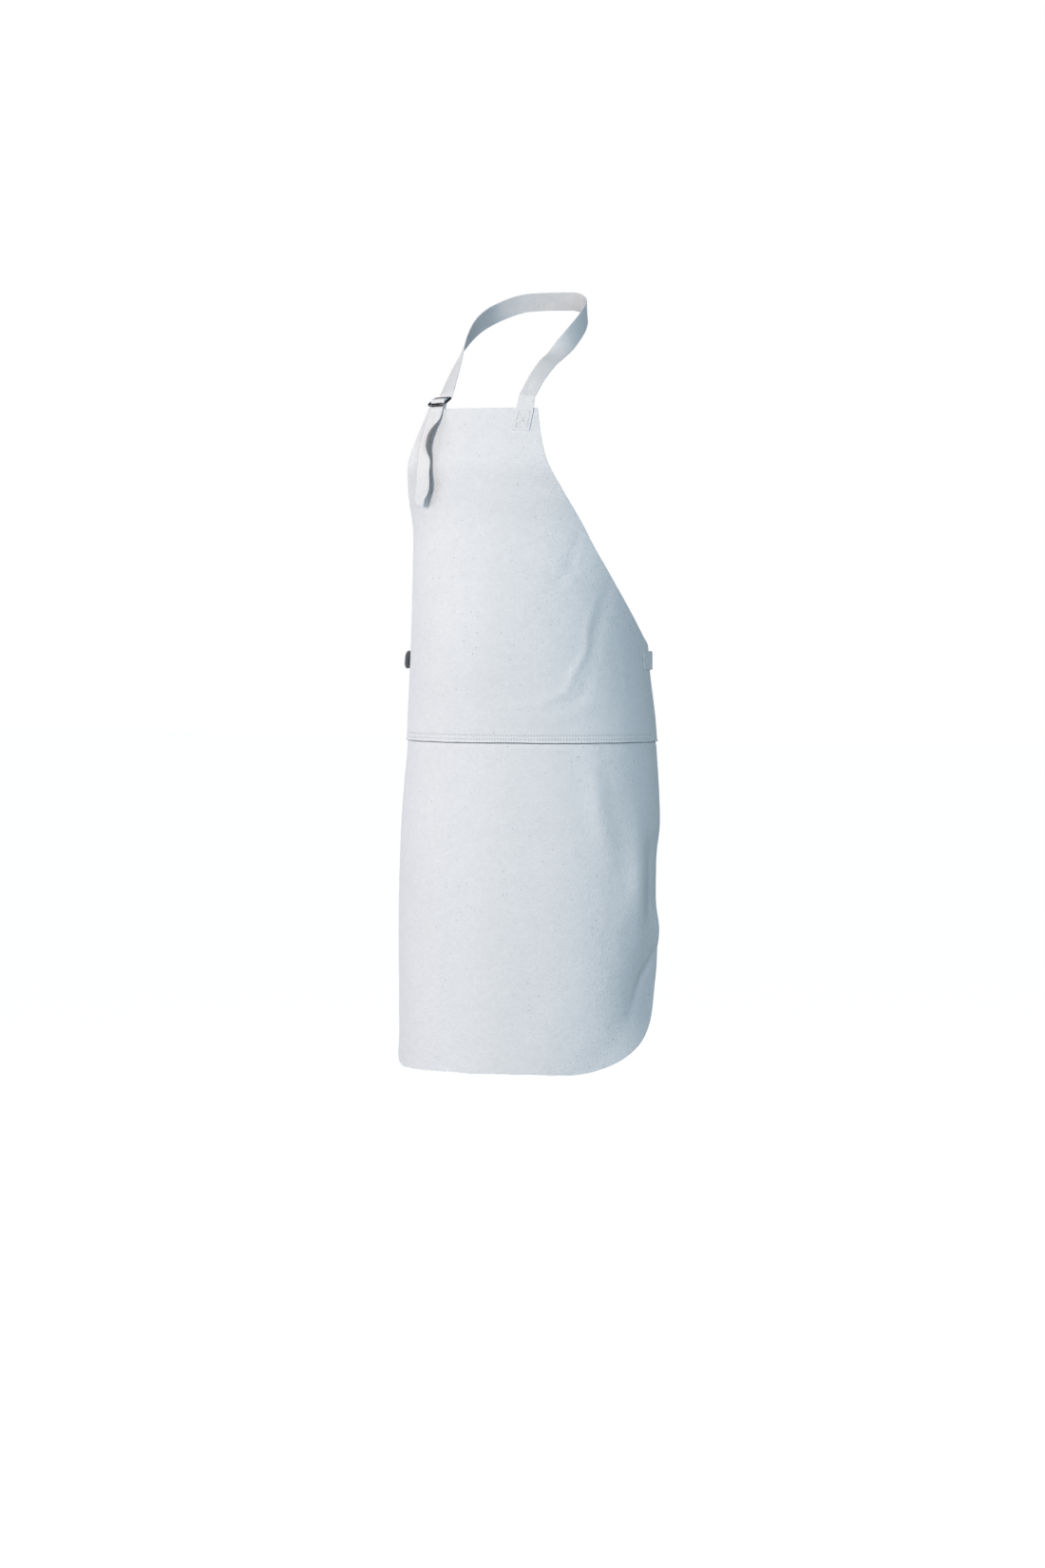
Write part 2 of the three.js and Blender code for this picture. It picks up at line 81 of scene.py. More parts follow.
WIRE = 3.0
BAR_PITCH = 8.5
FRAME_SIDE_GAP = 1.5
FRAME_CORNER = 3.0
ROLLER_WALL = 0.5
RUNNING_GAP = 0.3
TOUCH_GAP = 0.35
TILT_ROOM = 0.7
LOOP_RISE = 11.0
LEAD_IN = (8.6, 4.8)
LEAD_OUT = (12.5, 14.0)

THREAD = 0.8
SEAM_ROW_DROPS = (4.3, 10.0)
STITCH_PITCH = 4.0
STITCH_INSET = 4.0
WAIST_BACK_Y = 100.0
REST_LENGTH = 30.0

# drop below the bib's top edge, half breadth, half depth and centre y of the body's ellipse
SECTIONS = np.array([
    (0, 228, 150, 8), (65, 226, 150, -13), (110, 196, 150, -10), (155, 172, 150, -6), (210, 168, 150, -8),
    (320, 169, 150, -11), (450, 183, 148, -4), (600, 195, 149, -6), (900, 189, 150, -17),
], float)


# ---- Camera, floor and light, in metres ----
LENS, SENSOR_WIDTH = 155.5, 36.0
CLIP = (0.1, 200.0)
CAMERA_AT = (4.978, -7.9035, -0.3335)
CAMERA_AIM = (-0.0079, -0.0674, -0.6624)

LIGHT_AIM = (0.0, -0.1, -0.6)
LIGHTS = [  # name, place, diameter, watts and colour
    ("key", (-1.37, -4.31, 0.7), 2.0, 152.0, (0.975, 0.835, 0.745)),
    ("left_fill", (-4.43, -1.29, -0.2), 2.4, 100.0, (0.89, 0.91, 1.0)),
    ("right_fill", (3.57, -2.89, 0.2), 2.0, 106.0, (0.84, 0.93, 1.0)),
    ("back", (-1.48, 3.96, 0.97), 2.4, 110.0, (0.95, 0.97, 1.0)),
]
WHITE = (1.0, 1.0, 1.0, 1.0)
AMBIENT = ((0.45, 0.8, 1.0, 1.0), 0.16)  # colour and strength of the light from all round
BACKDROP = (WHITE, 1.0)  # the same for what the camera sees behind the floor

FLOOR_SIZE, FLOOR_Z = 60.0, -1.62
FLOOR_PAINT = {
    "Base Color": (0.3, 0.3, 0.3, 1.0), "Roughness": 0.9, "Specular IOR Level": 0.0,
    "Emission Color": WHITE, "Emission Strength": 0.97,
}


def look_at(obj, target):
    obj.rotation_mode = "QUATERNION"
    obj.rotation_quaternion = (Vector(target) - obj.location).to_track_quat("-Z", "Y")


def new_object(name, data):
    obj = bpy.data.objects.new(name, data)
    bpy.context.scene.collection.objects.link(obj)
    return obj


def add_camera():
    data = bpy.data.cameras.new("camera")
    data.lens, data.sensor_width = LENS, SENSOR_WIDTH
    data.clip_start, data.clip_end = CLIP
    camera = new_object("camera", data)
    camera.location = CAMERA_AT
    look_at(camera, CAMERA_AIM)
    bpy.context.scene.camera = camera


def add_lights():
    for name, place, diameter, watts, colour in LIGHTS:
        data = bpy.data.lights.new(name, "AREA")
        data.shape = "DISK"
        data.size, data.energy, data.color = diameter, watts, colour
        light = new_object(name, data)
        light.location = place
        light.visible_camera = False
        look_at(light, LIGHT_AIM)


def add_world():
    world = bpy.data.worlds.new("studio")
    bpy.context.scene.world = world
    world.use_nodes = True
    nodes, links = world.node_tree.nodes, world.node_tree.links
    nodes.clear()
    out = nodes.new("ShaderNodeOutputWorld")
    mix = nodes.new("ShaderNodeMixShader")
    path = nodes.new("ShaderNodeLightPath")
    links.new(path.outputs["Is Camera Ray"], mix.inputs["Fac"])
    for socket, (colour, strength) in zip(mix.inputs[1:], (AMBIENT, BACKDROP)):
        background = nodes.new("ShaderNodeBackground")
        background.inputs["Color"].default_value = colour
        background.inputs["Strength"].default_value = strength
        links.new(background.outputs["Background"], socket)
    links.new(mix.outputs["Shader"], out.inputs["Surface"])
    bpy.context.scene.view_settings.view_transform = "Standard"


def add_floor():
    bpy.ops.mesh.primitive_plane_add(size=FLOOR_SIZE, location=(0.0, 0.0, FLOOR_Z))
    floor = bpy.context.object
    floor.name = "floor"
    paint = bpy.data.materials.new("floor_paint")
    paint.use_nodes = True
    shader = paint.node_tree.nodes["Principled BSDF"]
    for socket, value in FLOOR_PAINT.items():
        shader.inputs[socket].default_value = value
    floor.data.materials.append(paint)
    floor.visible_diffuse = False


# ---- Materials ----
class Nodes:
    """Short names for the few node types that the materials use."""

    def __init__(self, name):
        self.material = bpy.data.materials.new(name)
        self.material.use_nodes = True
        self.tree = self.material.node_tree
        self.shader = self.tree.nodes["Principled BSDF"]
        self.place = self.new("ShaderNodeTexCoord").outputs["Object"]

    def new(self, kind, **settings):
        node = self.tree.nodes.new(kind)
        for key, value in settings.items():
            setattr(node, key, value)
        return node

    def hold(self, node, values):
        for socket, value in values.items():
            node.inputs[socket].default_value = value

    def plug(self, source, socket):
        self.tree.links.new(source, socket)

    def stretched(self, x, y, z):
        node = self.new("ShaderNodeMapping")
        node.inputs["Scale"].default_value = (x, y, z)
        self.plug(self.place, node.inputs["Vector"])
        return node.outputs["Vector"]

    def noise(self, scale, detail, rough, vector=None):
        node = self.new("ShaderNodeTexNoise")
        self.hold(node, {"Scale": scale, "Detail": detail, "Roughness": rough})
        self.plug(vector or self.place, node.inputs["Vector"])
        return node.outputs["Fac"]

    def cells(self, scale):
        node = self.new("ShaderNodeTexVoronoi")
        node.inputs["Scale"].default_value = scale
        self.plug(self.place, node.inputs["Vector"])
        return node.outputs["Distance"], node.outputs["Color"]

    def attribute(self, name):
        return self.new("ShaderNodeAttribute", attribute_name=name).outputs["Fac"]

    def span(self, value, low, high, to_low=0.0, to_high=1.0):
        """value from low to high, spread over to_low to to_high and held at both ends."""
        node = self.new("ShaderNodeMapRange")
        self.hold(node, {"From Min": low, "From Max": high, "To Min": to_low, "To Max": to_high})
        self.plug(value, node.inputs["Value"])
        return node.outputs["Result"]

    def maths(self, operation, *values):
        node = self.new("ShaderNodeMath", operation=operation)
        for socket, value in zip(node.inputs, values):
            if isinstance(value, (int, float)):
                socket.default_value = value
            else:
                self.plug(value, socket)
        return node.outputs["Value"]

    def mix(self, share, first, second, blend="MIX"):
        node = self.new("ShaderNodeMix", data_type="RGBA", blend_type=blend)
        sockets = [s for s in node.inputs if s.enabled]
        for socket, value in zip(sockets, (share, first, second)):
            if isinstance(value, (int, float)):
                socket.default_value = value
            elif isinstance(value, tuple):
                socket.default_value = (*value, 1.0)
            else:
                self.plug(value, socket)
        return next(s for s in node.outputs if s.enabled)

    def times(self, first, second):
        return self.maths("MULTIPLY", first, second)

    def weighted(self, *parts):
        """The sum of each value times its weight."""
        total = None
        for value, weight in parts:
            part = self.times(value, weight)
            total = part if total is None else self.maths("ADD", total, part)
        return total

    def tinted(self, colour, mask, strength, paint):
        return self.mix(self.times(mask, strength), colour, paint)

    def bump(self, height, distance, strength, below=None):
        node = self.new("ShaderNodeBump")
        self.hold(node, {"Strength": strength, "Distance": distance})
        self.plug(height, node.inputs["Height"])
        if below is not None:
            self.plug(below, node.inputs["Normal"])
        return node.outputs["Normal"]

    def finish(self, colour, roughness, normal, **constants):
        self.plug(colour, self.shader.inputs["Base Color"])
        self.plug(roughness, self.shader.inputs["Roughness"])
        self.plug(normal, self.shader.inputs["Normal"])
        self.hold(self.shader, {name.replace("_", " "): value for name, value in constants.items()})
        return self.material


# Noise in the leather: scale, detail and roughness.
CLOUDS, BLOTCHES, MOTTLES, NAP = (9, 3, 0.55), (60, 4, 0.6), (150, 4, 0.62), (420, 4, 0.65)
FIBRES, FIBRE_STRETCH = (1500, 3, 0.6), (1, 1, 0.55)
ROUGH_PATCHES, SPECK_CLUSTERS, REVERSE_PATCHES = (14, 3, 0.6), (16, 2, 0.5), (26, 4, 0.6)
EDGE_FUZZ, PEBBLES = (900, 3, 0.6), (95, 4, 0.6)
PIT_SCALE, SPECK_SCALE = 260, 170
# Colours laid over the leather. The first two are shares of the colour that they are laid over.
PIT_SHADE, REVERSE_SHADE = 0.62, (0.9, 0.92, 0.95)
SPECK, FUZZ = (0.18, 0.20, 0.21), (0.86, 0.875, 0.89)
# The last two are painted shade: the shadow under the bib's lapped edge along the waist seam, and the shade in
# the needle holes.
SEAM_SHADOW_COLOUR, HOLE_SHADE = (0.20, 0.23, 0.25), (0.16, 0.18, 0.20)


def suede(name, light, dark, reverse_tone_and_shade, depth=1.0):
    """Napped split leather: mottled, with short fibres, pits, specks and paler fibrous cut edges.
    The reverse tone darkens its reverse, a little for the leather's own darker back and much more for painted
    shade on the strap ends; depth scales its bumps."""
    n = Nodes(name)
    clouds, blotches, mottles, nap = (n.noise(*kind) for kind in (CLOUDS, BLOTCHES, MOTTLES, NAP))
    fibres = n.noise(*FIBRES, n.stretched(*FIBRE_STRETCH))
    tone = n.weighted((clouds, 0.10), (blotches, 0.13), (mottles, 0.20), (nap, 0.33), (fibres, 0.24))
    colour = n.mix(n.span(tone, 0.41, 0.59), dark, light)

    rough_patch = n.span(n.noise(*ROUGH_PATCHES), 0.46, 0.62, 0.25, 1.0)
    pit_distance, _ = n.cells(PIT_SCALE)
    pits = n.times(n.span(pit_distance, 0.10, 0.24, 1.0, 0.0), rough_patch)
    colour = n.tinted(colour, pits, 0.34, tuple(PIT_SHADE * c for c in dark))

    speck_distance, speck_colour = n.cells(SPECK_SCALE)
    sparse = n.span(speck_colour, 0.70, 0.76)
    clustered = n.span(n.noise(*SPECK_CLUSTERS), 0.42, 0.6, 0.2, 1.0)
    specks = n.times(n.span(speck_distance, 0.08, 0.19, 1.0, 0.0), sparse)
    colour = n.tinted(colour, n.times(specks, clustered), 0.7, SPECK)

    # The reverse is darkened: a little on the panels and straps, as their own darker back, and much more on
    # the strap ends, as painted shade inside their rolled edges.
    patches = n.span(n.noise(*REVERSE_PATCHES), 0.35, 0.65)
    reverse = n.mix(patches, tuple(reverse_tone_and_shade * c for c in REVERSE_SHADE), (reverse_tone_and_shade,) * 3)
    colour = n.mix(n.attribute("back"), colour, reverse, "MULTIPLY")

    fuzz = n.span(n.noise(*EDGE_FUZZ), 0.35, 0.6, 0.35, 1.0)
    colour = n.tinted(colour, n.times(n.attribute("cut_edge"), fuzz), 0.6, FUZZ)
    # Painted shadow along the waist seam, under the bib's lapped edge, broken up a little by the blotches.
    soil = n.times(n.attribute("soil"), n.span(blotches, 0.3, 0.6, 0.6, 1.0))
    colour = n.mix(soil, colour, SEAM_SHADOW_COLOUR)
    # Painted shade in the needle holes: a dark spot at each stitch end along the sewn rows.
    turns = n.times(n.attribute("across_mm"), 2 * math.pi / STITCH_PITCH)
    hole_shade = n.times(n.attribute("sewn_row"), n.span(n.maths("COSINE", turns), 0.35, 0.9))
    colour = n.tinted(colour, hole_shade, 0.75, HOLE_SHADE)

    pitted = n.maths("SUBTRACT", nap, n.times(pits, 0.6))
    grain = None
    bumps = [(n.noise(*PEBBLES), 0.001, 0.5), (mottles, 0.0008, 0.6), (pitted, 0.0007, 0.85)]
    for height, distance, strength in (*bumps, (fibres, 0.0003, 0.8)):
        grain = n.bump(height, distance, strength * depth, grain)
    return n.finish(colour, n.span(nap, 0.3, 0.7, 0.86, 1.0), grain,
                    Sheen_Weight=0.12, Sheen_Roughness=0.55, Specular_IOR_Level=0.2)


THREAD_FUZZ, THREAD_SOIL = (1700, 3, 0.6), (60, 2, 0.5)
THREAD_DARK, THREAD_LIGHT, THREAD_SOILED = (0.66, 0.675, 0.68), (0.86, 0.87, 0.87), (0.5, 0.52, 0.54)


def twisted_thread():
    n = Nodes("sewing_thread")
    fuzz = n.noise(*THREAD_FUZZ)
    colour = n.mix(n.span(fuzz, 0.35, 0.65), THREAD_DARK, THREAD_LIGHT)
    colour = n.mix(n.span(n.noise(*THREAD_SOIL), 0.5, 0.75, 0.0, 0.35), colour, THREAD_SOILED)
    return n.finish(colour, n.span(fuzz, 0.3, 0.7, 0.55, 0.8), n.bump(fuzz, 0.0002, 0.8),
                    Sheen_Weight=0.2, Specular_IOR_Level=0.35)


WEAR, SCRATCHES, SCRATCH_STRETCH = (170, 5, 0.65), (900, 2, 0.5), (0.12, 1, 1)


def plated_wire(name, bright, dull):
    """Nickel-chrome plate with fine rubbing marks along the bars and dull spots where leather rubs."""
    n = Nodes(name)
    wear = n.noise(*WEAR)
    scratches = n.noise(*SCRATCHES, n.stretched(*SCRATCH_STRETCH))
    colour = n.mix(n.span(wear, 0.42, 0.66), bright, dull)
    roughness = n.maths("ADD", n.span(wear, 0.4, 0.7, 0.16, 0.4), n.times(scratches, 0.1))
    return n.finish(colour, roughness, n.bump(scratches, 0.00006, 0.5), Metallic=1.0)


# ---- The hung leather ----
ARC_STEPS = 60


def unit(v):
    return v / np.linalg.norm(v)


def units(rows):
    return rows / np.linalg.norm(rows, axis=-1, keepdims=True)


def section(column, drop):
    """One column of SECTIONS at each drop."""
    stations, values = SECTIONS[:, 0], SECTIONS[:, column]
    place = np.arange(len(stations))
    before, after = np.maximum(place - 1, 0), np.minimum(place + 1, len(stations) - 1)
    slopes = (values[after] - values[before]) / (stations[after] - stations[before])
    held = np.clip(drop, stations[0], stations[-1])
    i = np.clip(np.searchsorted(stations, held, side="right") - 1, 0, len(stations) - 2)
    span = stations[i + 1] - stations[i]
    t = (held - stations[i]) / span
    t2, t3 = t * t, t * t * t
    return ((2 * t3 - 3 * t2 + 1) * values[i] + (t3 - 2 * t2 + t) * slopes[i] * span
            + (3 * t2 - 2 * t3) * values[i + 1] + (t3 - t2) * slopes[i + 1] * span)


def angle_at_arc(a, b, u):
    """The ellipse's angle at arc length u from its front, walked in short midpoint steps."""
    t = np.zeros(np.broadcast(a, b, u).shape)
    for _ in range(ARC_STEPS):
        half = t + u / ARC_STEPS / 2 / np.hypot(a * np.cos(t), b * np.sin(t))
        t = t + u / ARC_STEPS / np.hypot(a * np.cos(half), b * np.sin(half))
    return t


def hung(u, drop, offset=0.0):
    """Points u across and drop down the apron, offset outwards. The last axis is x, y, z."""
    u, drop, offset = np.broadcast_arrays(*(np.asarray(v, float) for v in (u, drop, offset)))
    a, b = section(1, drop), section(2, drop)
    t = angle_at_arc(a, b, u)
    normal = units(np.stack([b * np.sin(t), -a * np.cos(t), 0 * t], -1))
    point = np.stack([a * np.sin(t), section(3, drop) - b * np.cos(t), -drop], -1)
    return point + normal * offset[..., None]


NOISE_SIDE = 64  # the noise repeats after this many features


def value_noise(x, y, seed):
    """Smooth noise from -1 to 1 with features one unit across."""
    table = np.random.default_rng(seed).uniform(-1.0, 1.0, (NOISE_SIDE, NOISE_SIDE))
    x, y = np.broadcast_arrays(np.asarray(x, float), np.asarray(y, float))
    left, low = np.floor(x).astype(int), np.floor(y).astype(int)
    fx, fy = x - left, y - low
    fx, fy = fx * fx * (3 - 2 * fx), fy * fy * (3 - 2 * fy)

    def at(i, j):
        return table[(left + i) % NOISE_SIDE, (low + j) % NOISE_SIDE]

    lower = at(0, 0) * (1 - fx) + at(1, 0) * fx
    upper = at(0, 1) * (1 - fx) + at(1, 1) * fx
    return lower * (1 - fy) + upper * fy


def line_distance(u, drop, points):
    """Distance from each place to a line through points, and the share of the way along it."""
    nearest = np.full(np.shape(u), np.inf)
    along = np.zeros(np.shape(u))
    for k, (start, end) in enumerate(zip(points[:-1], points[1:])):
        du, dd = end[0] - start[0], end[1] - start[1]
        t = np.clip(((u - start[0]) * du + (drop - start[1]) * dd) / (du * du + dd * dd), 0, 1)
        distance = np.hypot(u - start[0] - t * du, drop - start[1] - t * dd)
        along = np.where(distance < nearest, (k + t) / (len(points) - 1), along)
        nearest = np.minimum(nearest, distance)
    return nearest, along


# Soft folds: points (u, drop) along each, its width and its height, in millimetres.
FOLDS = [
    (((176, 262), (165, 295), (162, 329), (147, 353), (132, 383), (99, 399), (66, 401)), 6.0, 1.5),
    (((200, 236), (188, 272), (178, 312), (170, 345)), 12.0, -1.5),
    (((170, 352), (156, 384), (138, 406)), 8.0, -1.0),
    (((96, 178), (122, 214), (150, 240)), 8.0, 1.2),
    (((152, 176), (138, 214), (112, 246)), 9.0, -0.9),
    (((60, 415), (120, 420), (190, 395)), 12.0, 0.9),
    (((-120, 60), (-60, 120), (-20, 230)), 30.0, 0.8),
    (((297, 734), (263, 772), (233, 822)), 8.0, -2.6),
    (((166, 468), (176, 540), (194, 610)), 16.0, 3.3),
    (((225, 560), (232, 640), (215, 720)), 14.0, 1.6),
    (((-40, 520), (-70, 660), (-60, 820)), 34.0, 1.3),
    (((70, 540), (90, 680), (80, 860)), 38.0, -1.4),
    (((-150, 560), (-165, 700), (-150, 860)), 26.0, -1.6),
    (((-240, 480), (-250, 600), (-225, 760)), 24.0, 2.4),
]
# Broad swells and hollows: u, drop, reach across, reach down and height.
SWELLS = [
    (243, 640, 15, 70, 4.8), (306, 702, 16, 24, 3.6), (276, 792, 46, 56, -9.0), (285, 322, 14, 10, 2.4),
    (-262, 640, 26, 90, -4.0), (-300, 720, 24, 40, 3.0), (130, 150, 40, 40, 1.2),
    (-30, 330, 70, 60, 1.6), (20, 700, 90, 90, 1.5),
]
# A dent that runs out over the side edge: u where it is full, drop, reach across, reach down and height.
EDGE_DENT = (276, 642, 17, 62, -5.6)
# Two points of the fold line across the bottom corner, the slope past it and how softly it starts.
CORNER_FLARE = ((297.0, 734.0), (233.0, 822.0), 0.26, 7.0)
RIGHT_DENT, RIGHT_FLARE = 0.4, 0.6  # their shares at the wearer's right
# Unevenness of the whole sheet: height, reach across, shift, reach down and seed.
UNEVEN = [(1.1, 120, 7, 150, 11), (0.34, 40, 0, 46, 12), (0.10, 13, 0, 13, 13)]
CALM_TOP = 70  # it fades out over this drop towards the bib's top edge
CALM_SEAT = (292, 342, 26)  # and round the waist strap's seats: u, drop and reach
SEAM_PULL, SEAM_PULL_REACH = 0.32, 1.5  # how deep the stitches draw the leather in


def relief(u, drop):
    """How far the leather stands off its smooth hung shape, outwards."""
    height = sum(rise * value_noise(u / across + shift, drop / down, seed)
                 for rise, across, shift, down, seed in UNEVEN)
    seat_u, seat_drop, reach = CALM_SEAT
    off_seat = np.hypot((np.abs(u) - seat_u) / reach, (drop - seat_drop) / reach)
    height = height * (np.clip(drop / CALM_TOP, 0, 1) * np.clip(off_seat - 0.5, 0, 1))
    for points, width, rise in FOLDS:
        distance, along = line_distance(u, drop, points)
        fade = np.sin(np.pi * np.clip(along, 0.04, 0.96)) ** 0.6
        height = height + rise * fade * np.exp(-((distance / width) ** 2))
    for u0, drop0, across, down, rise in SWELLS:
        height = height + rise * np.exp(-(((u - u0) / across) ** 2) - ((drop - drop0) / down) ** 2)
    full, drop0, across, down, rise = EDGE_DENT
    for side, share in ((1, 1.0), (-1, RIGHT_DENT)):
        inside = np.minimum(side * u - full, 0) / across
        height = height + share * rise * np.exp(-(inside ** 2) - ((drop - drop0) / down) ** 4)
    (u1, d1), (u2, d2), slope, soft = CORNER_FLARE
    length = math.hypot(u2 - u1, d2 - d1)
    for side, share in ((1, 1.0), (-1, RIGHT_FLARE)):
        past = ((side * u - u1) * (d2 - d1) - (drop - d1) * (u2 - u1)) / length
        height = height + share * slope * soft * np.log1p(np.exp(np.clip(past / soft, -30, 30)))
    for rise in SEAM_ROW_DROPS:
        row = SEAM_DROP - rise
        pucker = 1 + 0.25 * np.sin(2 * np.pi * u / STITCH_PITCH)
        height = height - SEAM_PULL * pucker * np.exp(-(((drop - row) / SEAM_PULL_REACH) ** 2))
    return height


def leather(u, drop, offset=0.0):
    return hung(u, drop, relief(u, drop) + offset)


# ---- Meshes ----
def new_piece(name, points, faces, material, body, replaced, slot, **attributes):
    """A mesh from points in millimetres. Each attribute has one number per point."""
    data = bpy.data.meshes.new(name)
    data.from_pydata(((np.asarray(points) + ORIGIN) * MM).tolist(), [], faces)
    obj = new_object(name, data)
    edit = bmesh.new()
    edit.from_mesh(data)
    bmesh.ops.recalc_face_normals(edit, faces=edit.faces)
    edit.to_mesh(data)
    edit.free()
    for key, values in attributes.items():
        data.attributes.new(key, "FLOAT", "POINT").data.foreach_set("value", np.asarray(values, np.float32))
    data.polygons.foreach_set("use_smooth", [True] * len(data.polygons))
    data.materials.append(material)
    if body:
        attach(obj, body)
    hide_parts(*replaced)
    return obj


def grid_faces(rows, cols, start=0):
    return [(k, k + 1, k + cols + 1, k + cols)
            for i in range(rows - 1) for k in range(start + i * cols, start + (i + 1) * cols - 1)]


def ring_faces(first, second):
    """Quads between two closed loops of vertex numbers."""
    count = len(first)
    return [(first[k], first[(k + 1) % count], second[(k + 1) % count], second[k]) for k in range(count)]


def round_grid(grid):
    """The border of a grid, once round."""
    return np.concatenate([grid[0], grid[1:, -1], grid[-1, -2::-1], grid[-2:0:-1, 0]])


def tube_faces(rings, capped=True):
    """Quads along a row of rings of vertex numbers, with a flat cap at each end."""
    faces = []
    for first, second in zip(rings[:-1], rings[1:]):
        faces += ring_faces(first, second)
    return faces + [tuple(rings[0]), tuple(rings[-1])] if capped else faces


def numbered_rings(count, size, start=0):
    """Vertex numbers of count rings."""
    return [list(range(start + k * size, start + (k + 1) * size)) for k in range(count)]


RIM = ((0.15, 0.22), (0.5, 0.36), (0.85, 0.22))  # shares of the way through a cut edge, and its bulge
FRAY = (0.6, 1.4)  # the least and most of that bulge


def panel(name, u, drop, front, soil, material, seed):
    """A cut piece of leather from a grid of places, closed all round with a soft, slightly frayed edge."""
    rows, cols = u.shape
    outer = leather(u, drop, front).reshape(-1, 3)
    inner = leather(u, drop, front - LEATHER).reshape(-1, 3)
    numbers = np.arange(rows * cols).reshape(rows, cols)
    at, inside = round_grid(numbers), round_grid(np.pad(numbers[1:-1, 1:-1], 1, "edge"))
    out = units(outer[at] - outer[inside])
    fray = np.random.default_rng(seed).uniform(*FRAY, len(at))
    rims = [outer[at] * (1 - share) + inner[at] * share + out * (bulge * fray)[:, None]
            for share, bulge in RIM]
    count, rim_count = rows * cols, len(RIM) * len(at)
    loops = [at.tolist(), *numbered_rings(len(RIM), len(at), 2 * count), (count + at).tolist()]
    faces = grid_faces(rows, cols) + grid_faces(rows, cols, count) + tube_faces(loops, capped=False)

    def spread(values, rim):
        """values on both faces, and rim on the cut edge."""
        return np.concatenate([values.ravel(), values.ravel(), np.broadcast_to(rim, (rim_count,))])

    border = np.zeros((rows, cols))
    border[[0, -1]] = border[:, [0, -1]] = 0.8
    # Painted shadow where the piece lies at or just under the bib's lapped edge; the pale cut edge is left out
    # there.
    soiled = spread(soil, np.tile(soil.ravel()[at], len(RIM)))
    # Where the painted needle-hole shade goes: along the two stitch rows.
    sewn = sum(np.exp(-(((drop - SEAM_DROP + rise) / 0.9) ** 2)) for rise in SEAM_ROW_DROPS)
    back = np.concatenate([np.zeros(count), np.ones(count), np.full(rim_count, 0.2)])
    return new_piece(name, np.concatenate([outer, inner, *rims]), faces, material, "apron",
                     [name.replace("_leather", "_panel")], "apron_suede",
                     cut_edge=spread(border, 1.0) * (1 - soiled), back=back, soil=soiled,
                     sewn_row=spread(sewn, 0.0), across_mm=spread(u, 0.0))


def bezier(points, count):
    t = np.linspace(0, 1, count)[:, None]
    p = [np.array(q, float) for q in points]
    return (1 - t) ** 3 * p[0] + 3 * (1 - t) ** 2 * t * p[1] + 3 * (1 - t) * t * t * p[2] + t ** 3 * p[3]


def half_width(drop):
    """Half the cut width of the apron at each drop below the bib's top edge."""
    top_lead = (BIB_TOP_HALF + ARMHOLE_LEAD[0], ARMHOLE_DEPTH * ARMHOLE_LEAD[1])
    side_lead = (HALF_WIDTH - SIDE_LEAD[0], ARMHOLE_DEPTH * SIDE_LEAD[1])
    edge = bezier([(BIB_TOP_HALF, 0), top_lead, side_lead, (HALF_WIDTH, ARMHOLE_DEPTH)], 400)
    half = np.interp(drop, edge[:, 1], edge[:, 0])
    past = np.clip((drop - (APRON_LENGTH - CORNER_RADIUS)) / CORNER_RADIUS, 0, 1)
    return half - CORNER_RADIUS * (1 - np.sqrt(1 - past * past))


def places(drops, seed, top_wave, bottom_wave):
    """A grid of places (u, drop) over a panel, with the small wander of a knife along its edges."""
    share = np.linspace(-1, 1, COLUMNS)[None, :]
    drop = drops[:, None] + 0 * share

    def wander(reach, right, left):
        down = drop / reach
        return np.where(share < 0, value_noise(down, right, seed), value_noise(down, left, seed + 1))

    u = share * (half_width(drop) + 0.25 * wander(11, 3.3, 7.7) + 0.7 * wander(60, 5.3, 9.7))
    down = (drop - drops[0]) / (drops[-1] - drops[0])
    wave = value_noise(u / 46, 1.5, seed + 2) + 0.4 * value_noise(u / 9, 4.5, seed + 3)
    return u, drop + wave * (top_wave * (1 - down) ** 8 + bottom_wave * down ** 12)


def stepped(*bands):
    """Values through bands of (first, last, count) that follow each other."""
    return np.concatenate([np.linspace(*band)[k > 0:] for k, band in enumerate(bands)])


COLUMNS = 241
SEAM_BAND = (434, 456)  # rows are closest together between these drops


def add_panels(material):
    bib_drops = stepped((0, ARMHOLE_DEPTH, 165), (ARMHOLE_DEPTH, SEAM_BAND[0], 56),
                        (SEAM_BAND[0], SEAM_DROP, 31))
    u, drop = places(bib_drops, 21, 0.35, 0.8)
    to_edge = drop[-1:] - drop
    lifted = 0.8 * np.exp(-((to_edge / 2.3) ** 2)) * (1 + 0.35 * value_noise(u / 34, 0.5, 23))
    # The bib's bottom cut edge gets painted shade, for the shadow line along its lap over the skirt.
    bib = panel("bib_leather", u, drop, lifted, np.where(to_edge < 0.2, 0.8, 0.0), material, 5)

    corner_top = APRON_LENGTH - CORNER_RADIUS
    turn = np.sin(np.linspace(0, np.pi / 2, 72))
    straight = stepped((SEAM_DROP - SEAM_LAP, SEAM_BAND[1], 32), (SEAM_BAND[1], corner_top, 135))
    skirt_drops = np.concatenate([straight, corner_top + CORNER_RADIUS * turn[1:]])
    u, drop = places(skirt_drops, 31, 0.3, 0.9)
    below = drop - SEAM_DROP
    sunk = -(LEATHER + PANEL_GAP) - 0.7 * np.exp(-(((below - 1.5) / 3.0) ** 2))
    # Painted shadow on the skirt just below the bib's lapped edge.
    soil = np.exp(-((np.clip(below - 0.6, 0, None) / 0.8) ** 2)) * (below > -6)
    skirt = panel("skirt_leather", u, drop, sunk, 0.55 * soil, material, 6)


# ---- Stitching ----
BEAD_STATIONS, BEAD_SIDES = 9, 8
PLY_TURNS, PLY_DEPTH = 1.25, 0.13  # the twist of the thread's two plies over one stitch
BOX_PITCH, BOX_GAP = 3.6, 0.12  # stitches round a sewn box, and the share of the pitch left at both ends


